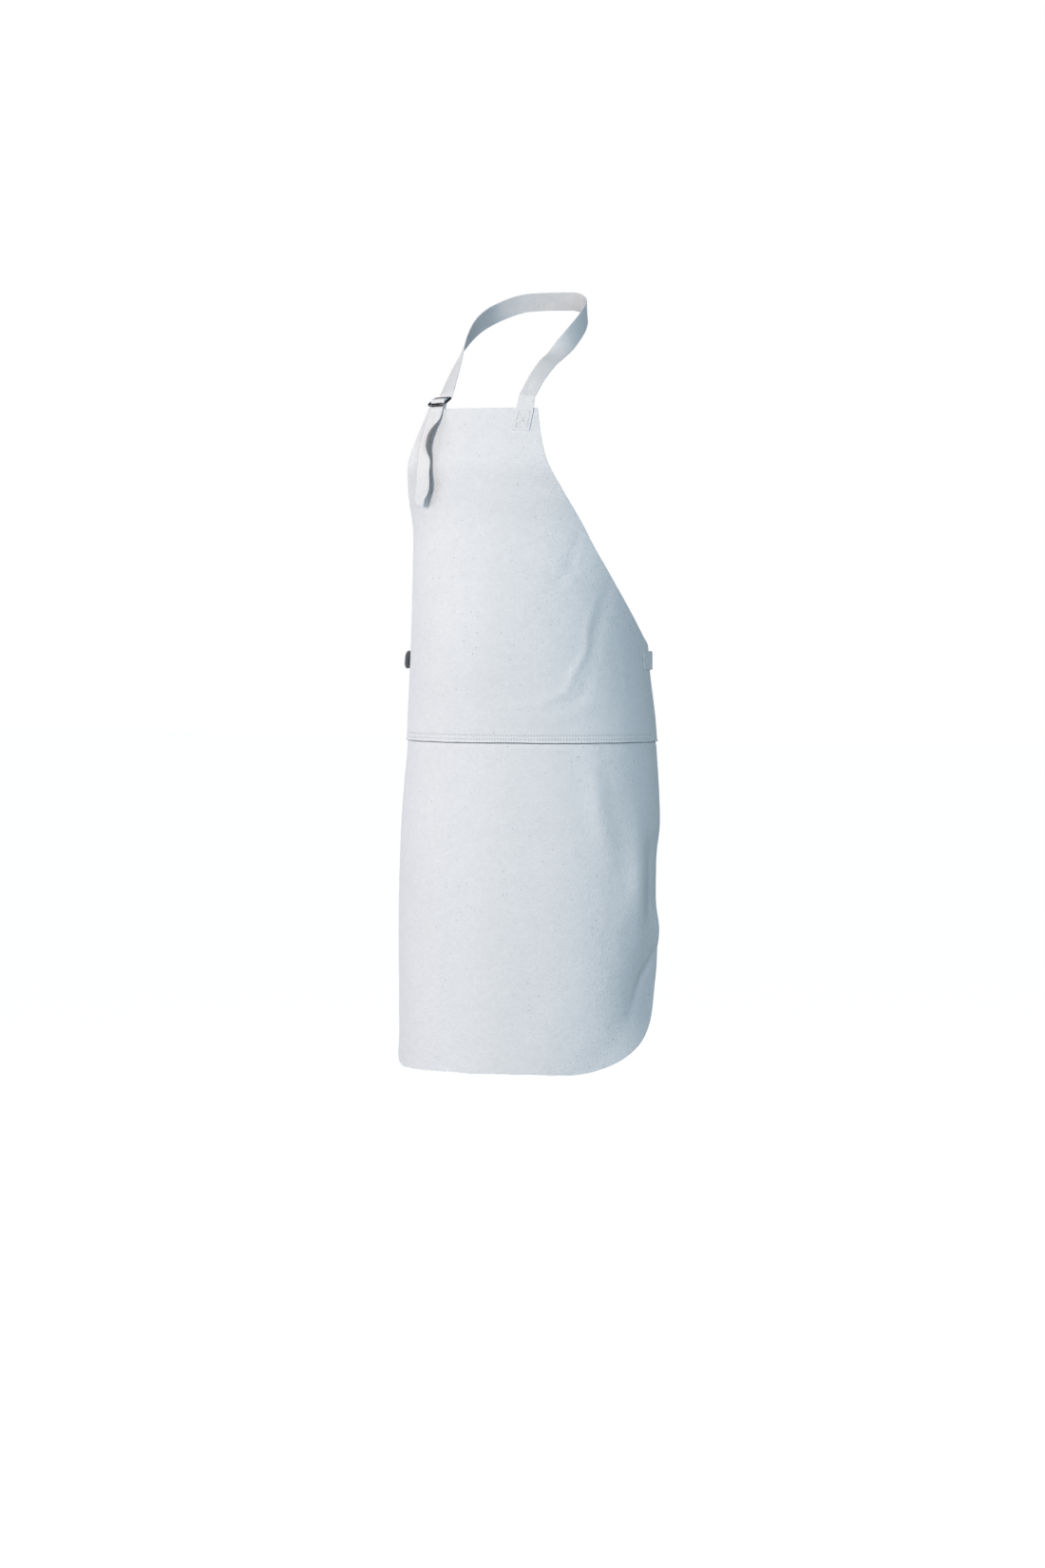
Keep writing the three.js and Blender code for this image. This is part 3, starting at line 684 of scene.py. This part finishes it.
def stitch_tubes(surface, starts, ends):
    """A bead of two-ply thread from each start (u, drop) to its end, with both ends drawn into the leather."""
    radius = THREAD / 2
    t = np.linspace(0, 1, BEAD_STATIONS)
    starts, ends = np.asarray(starts, float), np.asarray(ends, float)
    u = starts[:, :1] + (ends - starts)[:, :1] * t
    drop = starts[:, 1:] + (ends - starts)[:, 1:] * t
    lift = radius * (-1.0 + 1.55 * np.sin(np.pi * t) ** 0.55)
    centre = surface(u, drop, lift)
    normal = units(surface(u, drop, lift + 1.0) - centre)
    side = units(np.cross(np.gradient(centre, axis=1), normal))
    angle = np.linspace(0, 2 * np.pi, BEAD_SIDES, endpoint=False)
    ply = 1 + PLY_DEPTH * np.cos(2 * (angle - 2 * np.pi * PLY_TURNS * t[:, None]))
    taper = (0.62 + 0.38 * np.sin(np.pi * t) ** 0.5)[:, None]
    reach = radius * ply * taper
    points = (centre[:, :, None, :] + normal[:, :, None, :] * (reach * np.cos(angle))[..., None] * 0.85
              + side[:, :, None, :] * (reach * np.sin(angle))[..., None])
    faces = []
    for k in range(len(starts)):
        faces += tube_faces(numbered_rings(BEAD_STATIONS, BEAD_SIDES, k * BEAD_STATIONS * BEAD_SIDES))
    return points.reshape(-1, 3), faces


def add_stitches(name, place, front, back, starts, ends, material):
    """Stitches on both faces of a seam. place(u, drop, offset) gives points, at offsets front and back."""
    points, faces = stitch_tubes(lambda u, drop, lift: place(u, drop, front + lift), starts, ends)
    behind, more = stitch_tubes(lambda u, drop, lift: place(u, drop, back - lift), starts, ends)
    faces += [tuple(len(points) + v for v in face) for face in more]
    new_piece(name.replace("thread", "stitches"), np.concatenate([points, behind]), faces, material, "apron",
              [name], "thread")


def seam_stitches(material):
    rng = np.random.default_rng(41)
    for name, rise in zip(("waist_seam_thread_lower", "waist_seam_thread_upper"), SEAM_ROW_DROPS):
        reach = HALF_WIDTH - STITCH_INSET
        at = np.arange(-reach, reach - STITCH_PITCH, STITCH_PITCH)
        jitter = rng.uniform(-0.12, 0.12, (4, len(at)))
        row = SEAM_DROP - rise + 0.35 * value_noise(at / 70, 0.5, 43)
        starts = np.stack([at + 0.45 + jitter[0], row + 0.1 + jitter[1]], 1)
        ends = np.stack([at + STITCH_PITCH - 0.45 + jitter[2], row - 0.1 + jitter[3]], 1)
        add_stitches(name, leather, 0.0, -(2 * LEATHER + PANEL_GAP), starts, ends, material)


def box_path():
    """Starts and ends of the stitches round a sewn box with a cross in it."""
    half, near, far = STRAP_WIDTH / 2 - STITCH_INSET, STITCH_INSET, SEWN_LENGTH - STITCH_INSET
    corners = [(-half, near), (half, near), (half, far), (-half, far), (-half, near)]
    crosses = [((-half, near), (half, far)), ((half, near), (-half, far))]
    starts, ends = [], []
    for a, b in [*zip(corners[:-1], corners[1:]), *crosses]:
        a, b = np.array(a), np.array(b)
        count = max(2, round(np.linalg.norm(b - a) / BOX_PITCH))
        for k in range(count):
            starts.append(a + (b - a) * (k + BOX_GAP) / count)
            ends.append(a + (b - a) * (k + 1 - BOX_GAP) / count)
    return starts, ends


# ---- Seats and buckles ----
EDGE_RISE = STRAP_WIDTH ** 2 / (8 * SECTIONS[0, 1] ** 2 / SECTIONS[0, 2])
SEWN_GAP = SEWN_ROOM + EDGE_RISE
SEWN_OFFSET = SEWN_GAP + STRAP_THICKNESS / 2
LOOP_RADIUS = WIRE / 2 + RUNNING_GAP + TAB_THICKNESS / 2
PLY_Y = LEATHER + SEWN_GAP + TAB_THICKNESS / 2
PLY_PITCH = TAB_THICKNESS + TOUCH_GAP
BAR_Y = PLY_Y + PLY_PITCH / 2
ROLLER_RADIUS = WIRE / 2 + RUNNING_GAP + ROLLER_WALL
STRAP_BEHIND_ROLLER = ROLLER_RADIUS + TILT_ROOM + STRAP_THICKNESS / 2
STRAP_OVER_LOOP = LOOP_RADIUS + TAB_THICKNESS / 2 + TOUCH_GAP + STRAP_THICKNESS / 2
STRAP_BEHIND_BAR = WIRE / 2 + TILT_ROOM + STRAP_THICKNESS / 2
SLANT_ROOM = 0.4
ROLLER_Y = PLY_Y - TAB_THICKNESS / 2 - TOUCH_GAP - STRAP_THICKNESS / 2 - SLANT_ROOM - STRAP_BEHIND_ROLLER
LEAN = math.asin((BAR_Y - ROLLER_Y) / BAR_PITCH)
NECK_TAB_U = -(BIB_TOP_HALF - NECK_STRAP_INSET - STRAP_WIDTH / 2)
WAIST_STRAP_DROP = ARMHOLE_DEPTH + WAIST_STRAP_INSET + STRAP_WIDTH / 2


class Seat:
    """Where a tab leaves the bib: x along the bars, y inwards and z onwards past the bib's edge."""

    def __init__(self, name, place):
        self.name, self.place = name, place
        self.z = unit(place(-1.0, 0.0, 0.0) - place(1.0, 0.0, 0.0))
        across = unit(place(0.0, 0.0, 1.0) - place(0.0, 0.0, -1.0))
        self.y = unit(np.cross(self.z, across))
        self.x = np.cross(self.y, self.z)
        self.origin = place(0.0, 0.0, 0.0)

    def point(self, y, z, x=0.0):
        y, z, x = (np.asarray(v, float)[..., None] for v in (y, z, x))
        return self.origin + x * self.x + y * self.y + z * self.z

    def arc(self, y, z, radius, start, end, steps):
        """Points round a circle of the (y, z) plane. Angles in degrees, from +y towards +z."""
        angle = np.radians(np.linspace(start, end, steps + 1))
        return self.point(y + radius * np.cos(angle), z + radius * np.sin(angle))


NECK_SEAT = Seat("neck", lambda s, offset, w: hung(NECK_TAB_U + w, s, offset))
WAIST_SEAT = Seat("waist", lambda s, offset, w: hung(-HALF_WIDTH + s, WAIST_STRAP_DROP - w, offset))


BAR_SIDES = 20
BAR_SIDE = np.array([0.0, 1.0, 0.0])  # square to a flat buckle


def tube(centres, radii, closed):
    """A round bar along centres, which lie in the flat buckle's plane."""
    ahead = np.roll(centres, -1, 0) - np.roll(centres, 1, 0) if closed else np.gradient(centres, axis=0)
    across = np.cross(BAR_SIDE, units(ahead))
    angle = np.linspace(0, 2 * np.pi, BAR_SIDES, endpoint=False)
    radii = radii[:, None, None]
    points = (centres[:, None, :] + radii * np.cos(angle)[None, :, None] * BAR_SIDE
              + radii * np.sin(angle)[None, :, None] * across[:, None, :])
    rings = numbered_rings(len(centres), BAR_SIDES)
    return points.reshape(-1, 3), tube_faces(rings + rings[:1], False) if closed else tube_faces(rings)


def frame_outline():
    """The wire's centre line, x along the bars and z from bar to bar."""
    half_x = STRAP_WIDTH / 2 + FRAME_SIDE_GAP + WIRE / 2
    points = []
    for sx, sz, start in ((1, 1, 0), (-1, 1, 1), (-1, -1, 2), (1, -1, 3)):
        for k in range(9):
            angle = math.pi / 2 * (start + k / 8)
            points.append((sx * (half_x - FRAME_CORNER) + FRAME_CORNER * math.cos(angle), 0.0,
                           sz * (BAR_PITCH - FRAME_CORNER) + FRAME_CORNER * math.sin(angle)))
    return np.array(points)


def reach_along(points):
    return np.concatenate([[0], np.cumsum(np.linalg.norm(np.diff(points, axis=0), axis=1))])


def evened(line, step, *rows):
    """Each of rows, which belong to the points of line, at even steps along it."""
    reach = reach_along(line)
    at = np.linspace(0, reach[-1], int(round(reach[-1] / step)) + 1)
    return [np.stack([np.interp(at, reach, values[:, k]) for k in range(3)], 1) for values in rows]


def buckle_piece(seat, name, body, solid, points, faces, metal):
    """A piece of a flat buckle, leant and moved to its seat."""
    turn = np.array([[1, 0, 0], [0, math.cos(LEAN), math.sin(LEAN)], [0, -math.sin(LEAN), math.cos(LEAN)]])
    basis = np.stack([seat.x, seat.y, seat.z], 1)
    points = (np.asarray(points) @ turn.T + np.array([0, BAR_Y, LOOP_RISE])) @ basis.T + seat.origin
    new_piece(f"{seat.name}_{name}", points, faces, metal, f"{seat.name}_{body}",
              [f"{seat.name}_buckle_{solid}"], "buckle_metal")


WELD_X = -6.0  # where the frame's wire is closed, on the upper bar
BAR_OVERLAP, BAR_END = 0.25, 3.0  # how far the centre bar reaches into the frame, and where its ends swell
ROLLER_SIDES, ROLLER_EDGE = 40, 0.18


def add_wire(seat, metal):
    outline = frame_outline()
    outline = np.concatenate([outline, outline[:1]])
    wire = evened(outline, 0.9, outline)[0][:-1]
    weld = np.hypot(wire[:, 0] - WELD_X, wire[:, 2] - BAR_PITCH)
    radii = WIRE / 2 * (1 - 0.09 * np.exp(-((weld / 0.5) ** 2)) + 0.03 * np.exp(-(((weld - 1.3) / 0.7) ** 2)))
    buckle_piece(seat, "buckle_wire", "buckle", "frame", *tube(wire, radii, True), metal)


def add_middle_bar(seat, metal):
    half = STRAP_WIDTH / 2 + FRAME_SIDE_GAP - RUNNING_GAP + BAR_OVERLAP
    plain = half - BAR_END
    x = stepped((-half, -plain, 9), (-plain, plain, 16), (plain, half, 9))
    swell = 1 + 0.16 * np.exp(-((half - np.abs(x)) / 0.9) ** 2)
    bar = tube(np.stack([x, 0 * x, 0 * x], 1), WIRE / 2 * swell, False)
    buckle_piece(seat, "buckle_middle_bar", "buckle", "centre_bar", *bar, metal)


def add_roller(seat, metal):
    """A tube rolled from sheet, with its long seam."""
    half, bore, edge = STRAP_WIDTH / 2 - RUNNING_GAP, WIRE / 2 + RUNNING_GAP, ROLLER_EDGE
    profile = [(bore, -half + edge), (bore + 0.15, -half), (ROLLER_RADIUS - edge, -half),
               (ROLLER_RADIUS, -half + edge), (ROLLER_RADIUS, -half / 3)]
    profile += [(radius, -x) for radius, x in reversed(profile)]
    angle = np.linspace(0, 2 * np.pi, ROLLER_SIDES, endpoint=False)
    seam = 1 - 0.09 * np.exp(-(((angle - np.pi * 1.2) / 0.09) ** 2))
    points = []
    for radius, x in profile:
        reach = radius * (seam if radius > bore + 0.2 else 1.0)
        ring = [x + 0 * angle, reach * np.cos(angle), reach * np.sin(angle) - BAR_PITCH]
        points += np.stack(ring, 1).tolist()
    rings = numbered_rings(len(profile), ROLLER_SIDES)
    faces = tube_faces(rings + rings[:1], False)
    buckle_piece(seat, "roller_tube", "roller", "roller", points, faces, metal)


# ---- Straps ----
SPAN_STEPS = 14
TOO_CLOSE = 1e-4


def catmull_rom(points):
    """Smooth points through points, on a centripetal Catmull-Rom curve, as three.js draws it."""
    p = np.asarray(points, float)
    p = np.concatenate([[2 * p[0] - p[1]], p, [2 * p[-1] - p[-2]]])
    out = []
    for k in range(1, len(p) - 2):
        p0, p1, p2, p3 = p[k - 1:k + 3]
        d0, d1, d2 = (np.sum((b - a) ** 2) ** 0.25 for a, b in ((p0, p1), (p1, p2), (p2, p3)))
        d1 = d1 if d1 > TOO_CLOSE else 1.0
        d0, d2 = (d if d > TOO_CLOSE else d1 for d in (d0, d2))
        t1 = ((p1 - p0) / d0 - (p2 - p0) / (d0 + d1) + (p2 - p1) / d1) * d1
        t2 = ((p2 - p1) / d1 - (p3 - p1) / (d1 + d2) + (p3 - p2) / d2) * d1
        t = (np.arange(SPAN_STEPS) / SPAN_STEPS)[:, None]
        out.append(p1 + t1 * t + (3 * (p2 - p1) - 2 * t1 - t2) * t * t + (2 * (p1 - p2) + t1 + t2) * t ** 3)
    return np.concatenate([*out, [p[-2]]])


def smoothed(values, times):
    """values with its inner rows drawn towards their neighbours."""
    for _ in range(times):
        values = np.concatenate([values[:1], (values[:-2] + 2 * values[1:-1] + values[2:]) / 4, values[-1:]])
    return values


def flat_section(s, w):
    return w, 0 * w, 0 * w


FACE_STEPS = 19  # places across each face of a strip
EDGE_SOFT = 0.32


def ribbon(name, centres, across, thickness, material, body, replaced, seed, bend=flat_section, cut=None):
    """A strip of leather along centres. Its face points along across x line. bend(s, w) gives, for a place
    s along and w across the strip, its own place across and out, and the turn of its face. cut(s, w)
    narrows it."""
    tangent = units(np.gradient(centres, axis=0))
    across = units(across - np.sum(across * tangent, 1, keepdims=True) * tangent)
    face = np.cross(across, tangent)
    s = reach_along(centres)
    half, h = STRAP_WIDTH / 2, thickness / 2
    flat = np.linspace(-half + EDGE_SOFT, half - EDGE_SOFT, FACE_STEPS)
    corner_w, corner_h = np.array([half - 0.08, half, half - 0.08]), np.array([h * 0.62, 0.0, -h * 0.62])
    w = np.concatenate([flat, corner_w, flat[::-1], -corner_w])
    up = np.concatenate([np.full(FACE_STEPS, h), corner_h, np.full(FACE_STEPS, -h), -corner_h])
    wander = value_noise(s[:, None] / 13, 2.5 * np.sign(w)[None, :], seed)
    W = w[None, :] + 0.22 * wander * np.abs(w / half)[None, :] ** 3
    H = up[None, :] + 0.07 * value_noise(s[:, None] / 6, w[None, :] / 6, seed + 1) * np.sign(up)[None, :]
    S = np.broadcast_to(s[:, None], W.shape)
    if cut is not None:
        W = cut(S, W)
    x, out, turn = bend(S, W)
    x, out = x - H * np.sin(turn), out + H * np.cos(turn)
    points = centres[:, None, :] + across[:, None, :] * x[..., None] + face[:, None, :] * out[..., None]
    edge = np.zeros(W.shape)
    for first in (FACE_STEPS, 2 * FACE_STEPS + 3):
        edge[:, first:first + 3] = 1.0
    edge[:, [0, FACE_STEPS - 1, FACE_STEPS + 3, 2 * FACE_STEPS + 2]] = 0.6
    edge[[0, -1]] = 1.0
    back = np.broadcast_to((-up > h * 0.9).astype(float), W.shape)
    faces = tube_faces(numbered_rings(len(centres), len(w)))
    return new_piece(name, points.reshape(-1, 3), faces, material, body, replaced, "strap_leather",
                     cut_edge=edge.ravel(), back=back.ravel())


def even_strip(parts, step=1.1, rounds=2):
    """Lines of (points, across) joined, spaced evenly and smoothed."""
    points = np.concatenate([p for p, _ in parts])
    across = np.concatenate([np.broadcast_to(a, p.shape) for p, a in parts])
    points, across = evened(points, step, points, across)
    return smoothed(points, rounds), smoothed(across, rounds * 6)


def crossing(radius_sum):
    """Degrees at which a strap crosses from behind one circle to the front of the next."""
    return math.degrees(math.acos(radius_sum / BAR_PITCH))


SPLIT_ANGLE = -22.0  # where a strap is divided from its free end, behind the roller
BAR_ROOM = 0.4  # more room behind the upper bar, as smoothing draws the strip towards it
BAR_DY, BAR_DZ = BAR_PITCH * math.sin(LEAN), BAR_PITCH * math.cos(LEAN)


def threaded_path(seat):
    """Behind the upper bar, over the looped centre bar and behind the roller, to the free end."""
    down = 270 - math.degrees(LEAN)
    behind_bar = STRAP_BEHIND_BAR + BAR_ROOM
    first, second = crossing(behind_bar + STRAP_OVER_LOOP), crossing(STRAP_OVER_LOOP + STRAP_BEHIND_ROLLER)
    return np.concatenate([
        seat.arc(BAR_Y + BAR_DY, LOOP_RISE + BAR_DZ, behind_bar, 335, down + first, 8),
        seat.arc(BAR_Y, LOOP_RISE, STRAP_OVER_LOOP, down + first - 180, down - second, 12),
        seat.arc(BAR_Y - BAR_DY, LOOP_RISE - BAR_DZ, STRAP_BEHIND_ROLLER, down - second - 180,
                 SPLIT_ANGLE, 8),
    ])


TAIL_Y = -TAIL_LIFT - STRAP_THICKNESS / 2


def tail_path(seat, length, lifts):
    """From behind the roller, round below it and down the front of the bib."""
    round_roller = seat.arc(BAR_Y - BAR_DY, LOOP_RISE - BAR_DZ, STRAP_BEHIND_ROLLER, SPLIT_ANGLE, -62, 6)
    flex, above = seat.point(TAIL_Y, -FLEX_DROP), seat.point(TAIL_Y - 0.05, -FLEX_DROP + 1.6)
    route = [seat.place(s * length, lift + STRAP_THICKNESS / 2, 0.0) for s, lift in lifts]
    return np.concatenate([round_roller, catmull_rom([above, flex, *route])])


def neck_route(edge):
    """Places and outward directions from the sewn end, over both shoulders, to the buckle."""
    back, rest = NECK_BACK_Y + STRAP_THICKNESS / 2, REST_LENGTH / 2
    right = NECK_SEAT.point(BAR_Y + LEAD_OUT[0], LOOP_RISE + LEAD_OUT[1])
    over = [
        ((83, -8, 119), (0.97, 0.1, 0.2)),
        ((70, 24, 137), (0.8, 0.6, 0.05)),
        ((44, 44, NECK_DROP - 2), (0.4, 0.92, 0)),
        ((rest, back, NECK_DROP), (0, 1, 0)),
    ]
    return [
        ((edge[0], edge[1] + 5, 16), (0.1, -0.93, 0.35)),
        ((edge[0] + 2, -111, 39), (0.15, -0.8, 0.58)),
        ((edge[0] + 5, -88, 60), (0.3, -0.35, 0.88)),
        ((79, -68, 73), (0.35, -0.1, 0.93)),
        ((84, -40, 96), (0.8, -0.1, 0.55)),
        *over, *[((-x, y, z), (-nx, ny, nz)) for (x, y, z), (nx, ny, nz) in reversed(over)],
        ((-84, -42, 92), (-0.85, -0.2, 0.45)),
        ((-79, -72, 62), (-0.55, -0.65, 0.5)),
        (tuple(right), (-0.2, -0.8, 0.55)),
    ]


def ridge(s, centre, reach):
    return np.exp(-(((s - centre) / reach) ** 2))


def eased(s, start, reach):
    t = np.clip((s - start) / reach, 0, 1)
    return t * t * (3 - 2 * t)


def neck_strap_bend(s, w):
    """A soft lengthwise crease above the bib and a slight cup where the strap runs free."""
    crease = -1.5 * ridge(s, 60, 12) * np.exp(-(((w + 1.5) / 2.6) ** 2))
    cup = 0.5 * (1 - (w / 12.5) ** 2) * ridge(s, 80, 40)
    cup = cup + 0.35 * value_noise(s / 30, w / 30, 77) * ridge(s, 300, 220)
    sewn = 1 - eased(s, 18, 14)
    on_bib = 0.4 + w * w * SECTIONS[0, 2] / (2 * SECTIONS[0, 1] ** 2)
    return w, crease + cup - sewn * on_bib, 0 * w


def add_neck_strap(material):
    sewn = hung(-NECK_TAB_U, np.linspace(SEWN_LENGTH, 0, 22), SEWN_OFFSET)
    width = unit(hung(-NECK_TAB_U + 5, 0) - hung(-NECK_TAB_U - 5, 0))
    route = neck_route(sewn[-1])
    points, normals = (catmull_rom([row[k] for row in route]) for k in (0, 1))
    across = units(np.cross(np.gradient(points, axis=0), normals))
    path, axes = even_strip([(sewn, width), (points, across), (threaded_path(NECK_SEAT), -NECK_SEAT.x)])
    ribbon("neck_strap_leather", path, axes, STRAP_THICKNESS, material, "apron", ["neck_strap"], 51,
           neck_strap_bend)


def waist_sweep(edge, leave, side):
    """From one side of the apron round to the middle of the back."""
    back = np.array([side * REST_LENGTH / 2, WAIST_BACK_Y + STRAP_THICKNESS / 2, edge[2]])
    return bezier([edge, edge + leave * 42, back + np.array([side * 95, 0, 0]), back], 60)


def waist_strap_bend(s, w):
    cup = 0.35 * value_noise(s / 60, w / 25, 88) * np.clip((s - 35) / 30, 0, 1)
    return w, cup, 0 * w


def add_waist_strap(material):
    sewn = hung(HALF_WIDTH - np.linspace(SEWN_LENGTH, 0, 20), WAIST_STRAP_DROP, SEWN_OFFSET)
    width = unit(hung(HALF_WIDTH, WAIST_STRAP_DROP + 5) - hung(HALF_WIDTH, WAIST_STRAP_DROP - 5))
    leave = unit(sewn[-1] - hung(HALF_WIDTH - 0.33 * SEWN_LENGTH, WAIST_STRAP_DROP, SEWN_OFFSET))
    arrive = WAIST_SEAT.point(BAR_Y + LEAD_OUT[0], LOOP_RISE + LEAD_OUT[1])
    pull = unit(arrive - WAIST_SEAT.point(BAR_Y + LEAD_IN[0], LOOP_RISE + LEAD_IN[1]))
    left = waist_sweep(sewn[-1] + leave * 4, leave, 1)
    right = waist_sweep(arrive, pull, -1)[::-1]
    down = np.array([0.0, 0.0, -1.0])
    path, axes = even_strip([(sewn, width), (np.concatenate([left, right]), down),
                             (threaded_path(WAIST_SEAT), -WAIST_SEAT.x)])
    ribbon("waist_strap_leather", path, axes, STRAP_THICKNESS, material, "apron", ["waist_strap"], 52,
           waist_strap_bend)


FULL_ROLL = 2.75  # radians of roll past which a curled edge lies straight


def curled(arc_at, drift_at, radius):
    """A bend that rolls the strip's far edge over its face. arc_at(s) is the width that is rolled and
    drift_at(s) how far the strip wanders sideways."""
    def bend(s, w):
        start = STRAP_WIDTH / 2 - arc_at(s)
        past = np.clip(-w - start, 0, None)
        turn = np.minimum(past / radius, FULL_ROLL)
        flap = np.clip(past - radius * FULL_ROLL, 0, None)
        x = np.where(past > 0, -start - radius * np.sin(turn) - flap * np.cos(turn), w)
        out = np.where(past > 0, radius * (1 - np.cos(turn)) + flap * np.sin(turn), 0.0)
        sway = 0.5 * value_noise(s / 40, w / 40, 66)
        return x + drift_at(s), out + sway * np.clip(s / 30, 0, 1), -turn
    return bend


def neck_curl(s):
    """The width of the neck strap's free end that is rolled."""
    return 8.6 * eased(s, 8, 40) - 5.8 * eased(s, 58, 26) + 3.4 * eased(s, 120, 16)


def neck_drift(s):
    """How far it swings sideways."""
    return 2.5 * eased(s, 20, 60) + 2.5 * eased(s, 70, 30) + 10.0 * eased(s, 108, 34)


def hardly(s):
    """Next to none, for a strip that lies flat."""
    return 0.0 * s + 0.01


def add_tail(seat, length, lifts, material, bend, cut, seed):
    """A strap's free end, from behind the roller down the front of the bib."""
    path, axes = even_strip([(tail_path(seat, length, lifts), seat.x)], rounds=3)
    made = ribbon(f"{seat.name}_tail_leather", path, -axes, STRAP_THICKNESS, material, None,
                  [f"{seat.name}_strap_tail"], seed, bend, cut)
    start, end = (tuple((seat.point(TAIL_Y, z) + ORIGIN) * MM) for z in (-FLEX_DROP + 2.2, -FLEX_DROP - 6.0))
    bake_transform(made)


def slanted_end(total, slant):
    """Narrows the last of a strip to a blunt point."""
    def cut(s, w):
        left = np.clip((total - s) / slant, 0, 1)
        return w * (0.35 + 0.65 * left ** 0.5)
    return cut


def add_tab(seat, material):
    """A strip folded over the centre bar, both ends sewn behind the bib."""
    s_in = np.linspace(SEWN_LENGTH, 0.02 * SEWN_LENGTH, 16)
    front = seat.place(s_in, -PLY_Y, 0.0)
    rear = seat.place(s_in[::-1], -PLY_Y - PLY_PITCH, 0.0)
    loop = seat.arc(BAR_Y, LOOP_RISE, LOOP_RADIUS, 230, -50, 26)
    pinch = LOOP_RISE / 2.6
    joins = [seat.point([y], [pinch]) for y in (PLY_Y, PLY_Y + PLY_PITCH)]
    path, axes = even_strip([(line, seat.x) for line in (front, joins[0], loop, joins[1], rear)], 0.9)
    ribbon(f"{seat.name}_tab_leather", path, axes, TAB_THICKNESS, material, "apron",
           [f"{seat.name}_buckle_tab"], 53)


# ---- Assembly ----
PANEL_COLOURS = ((0.77, 0.795, 0.825), (0.69, 0.717, 0.748))
STRAP_COLOURS = ((0.76, 0.775, 0.79), (0.68, 0.70, 0.725))
# Both plates are kept dark, partly the plate's own colour and partly painted reflection of dark surroundings;
# the roller's copy is darker still, for the dark it reflects.
NICKEL = ((0.16, 0.165, 0.18), (0.075, 0.08, 0.085))
ROLLER_SHADED_NICKEL = ((0.055, 0.058, 0.065), (0.028, 0.03, 0.034))
# How far along a free end, and how far off the bib.
NECK_TAIL_LIFTS = [(0.12, 2.6), (0.35, 3.5), (0.65, 5), (1, 8)]
WAIST_TAIL_LIFTS = [(0.15, 2.8), (0.4, 4), (0.7, 6), (1, 8)]


def box_stitches(thread):
    on_strap, behind_tab = SEWN_GAP + STRAP_THICKNESS, -(PLY_Y + PLY_PITCH + TAB_THICKNESS / 2)
    drop = WAIST_STRAP_DROP
    for name, place, front, back in (
        ("neck_strap", lambda w, s, lift: hung(-NECK_TAB_U + w, s, lift), on_strap + 0.12, -LEATHER),
        ("neck_buckle_tab", lambda w, s, lift: hung(NECK_TAB_U + w, s, lift), 0.0, behind_tab),
        ("waist_strap", lambda w, s, lift: hung(HALF_WIDTH - s, drop + w, lift), on_strap, -LEATHER),
        ("waist_buckle_tab", lambda w, s, lift: hung(-HALF_WIDTH + s, drop + w, lift), 0.0, behind_tab),
    ):
        add_stitches(f"{name}_thread", place, front, back, *box_path(), thread)


def build():
    add_camera()
    add_lights()
    add_world()
    add_floor()
    panel_leather = suede("pale_split_leather", *PANEL_COLOURS, 0.84)
    strap_leather = suede("strap_split_leather", *STRAP_COLOURS, 0.8, 0.2)
    # The strap ends' much darker reverse is painted shade inside their rolled edges.
    tail_leather = suede("strap_end_shaded_split_leather", *STRAP_COLOURS, 0.3, 0.25)
    thread = twisted_thread()
    metal = plated_wire("nickel_plate", *NICKEL)
    # The roller gets a darker copy of the plate: painted dark reflection.
    roller_shaded_metal = plated_wire("roller_shaded_nickel_plate", *ROLLER_SHADED_NICKEL)
    add_panels(panel_leather)
    seam_stitches(thread)
    box_stitches(thread)
    add_neck_strap(strap_leather)
    add_waist_strap(strap_leather)
    for seat in (NECK_SEAT, WAIST_SEAT):
        add_tab(seat, strap_leather)
        add_wire(seat, metal)
        add_middle_bar(seat, metal)
        add_roller(seat, roller_shaded_metal)
    add_tail(NECK_SEAT, NECK_TAIL_LENGTH, NECK_TAIL_LIFTS, tail_leather,
             curled(neck_curl, neck_drift, 2.0), slanted_end(142.0, 22.0), 54)
    add_tail(WAIST_SEAT, WAIST_TAIL_LENGTH, WAIST_TAIL_LIFTS, tail_leather,
             curled(hardly, hardly, 40.0), slanted_end(115.0, 12.0), 55)


build()
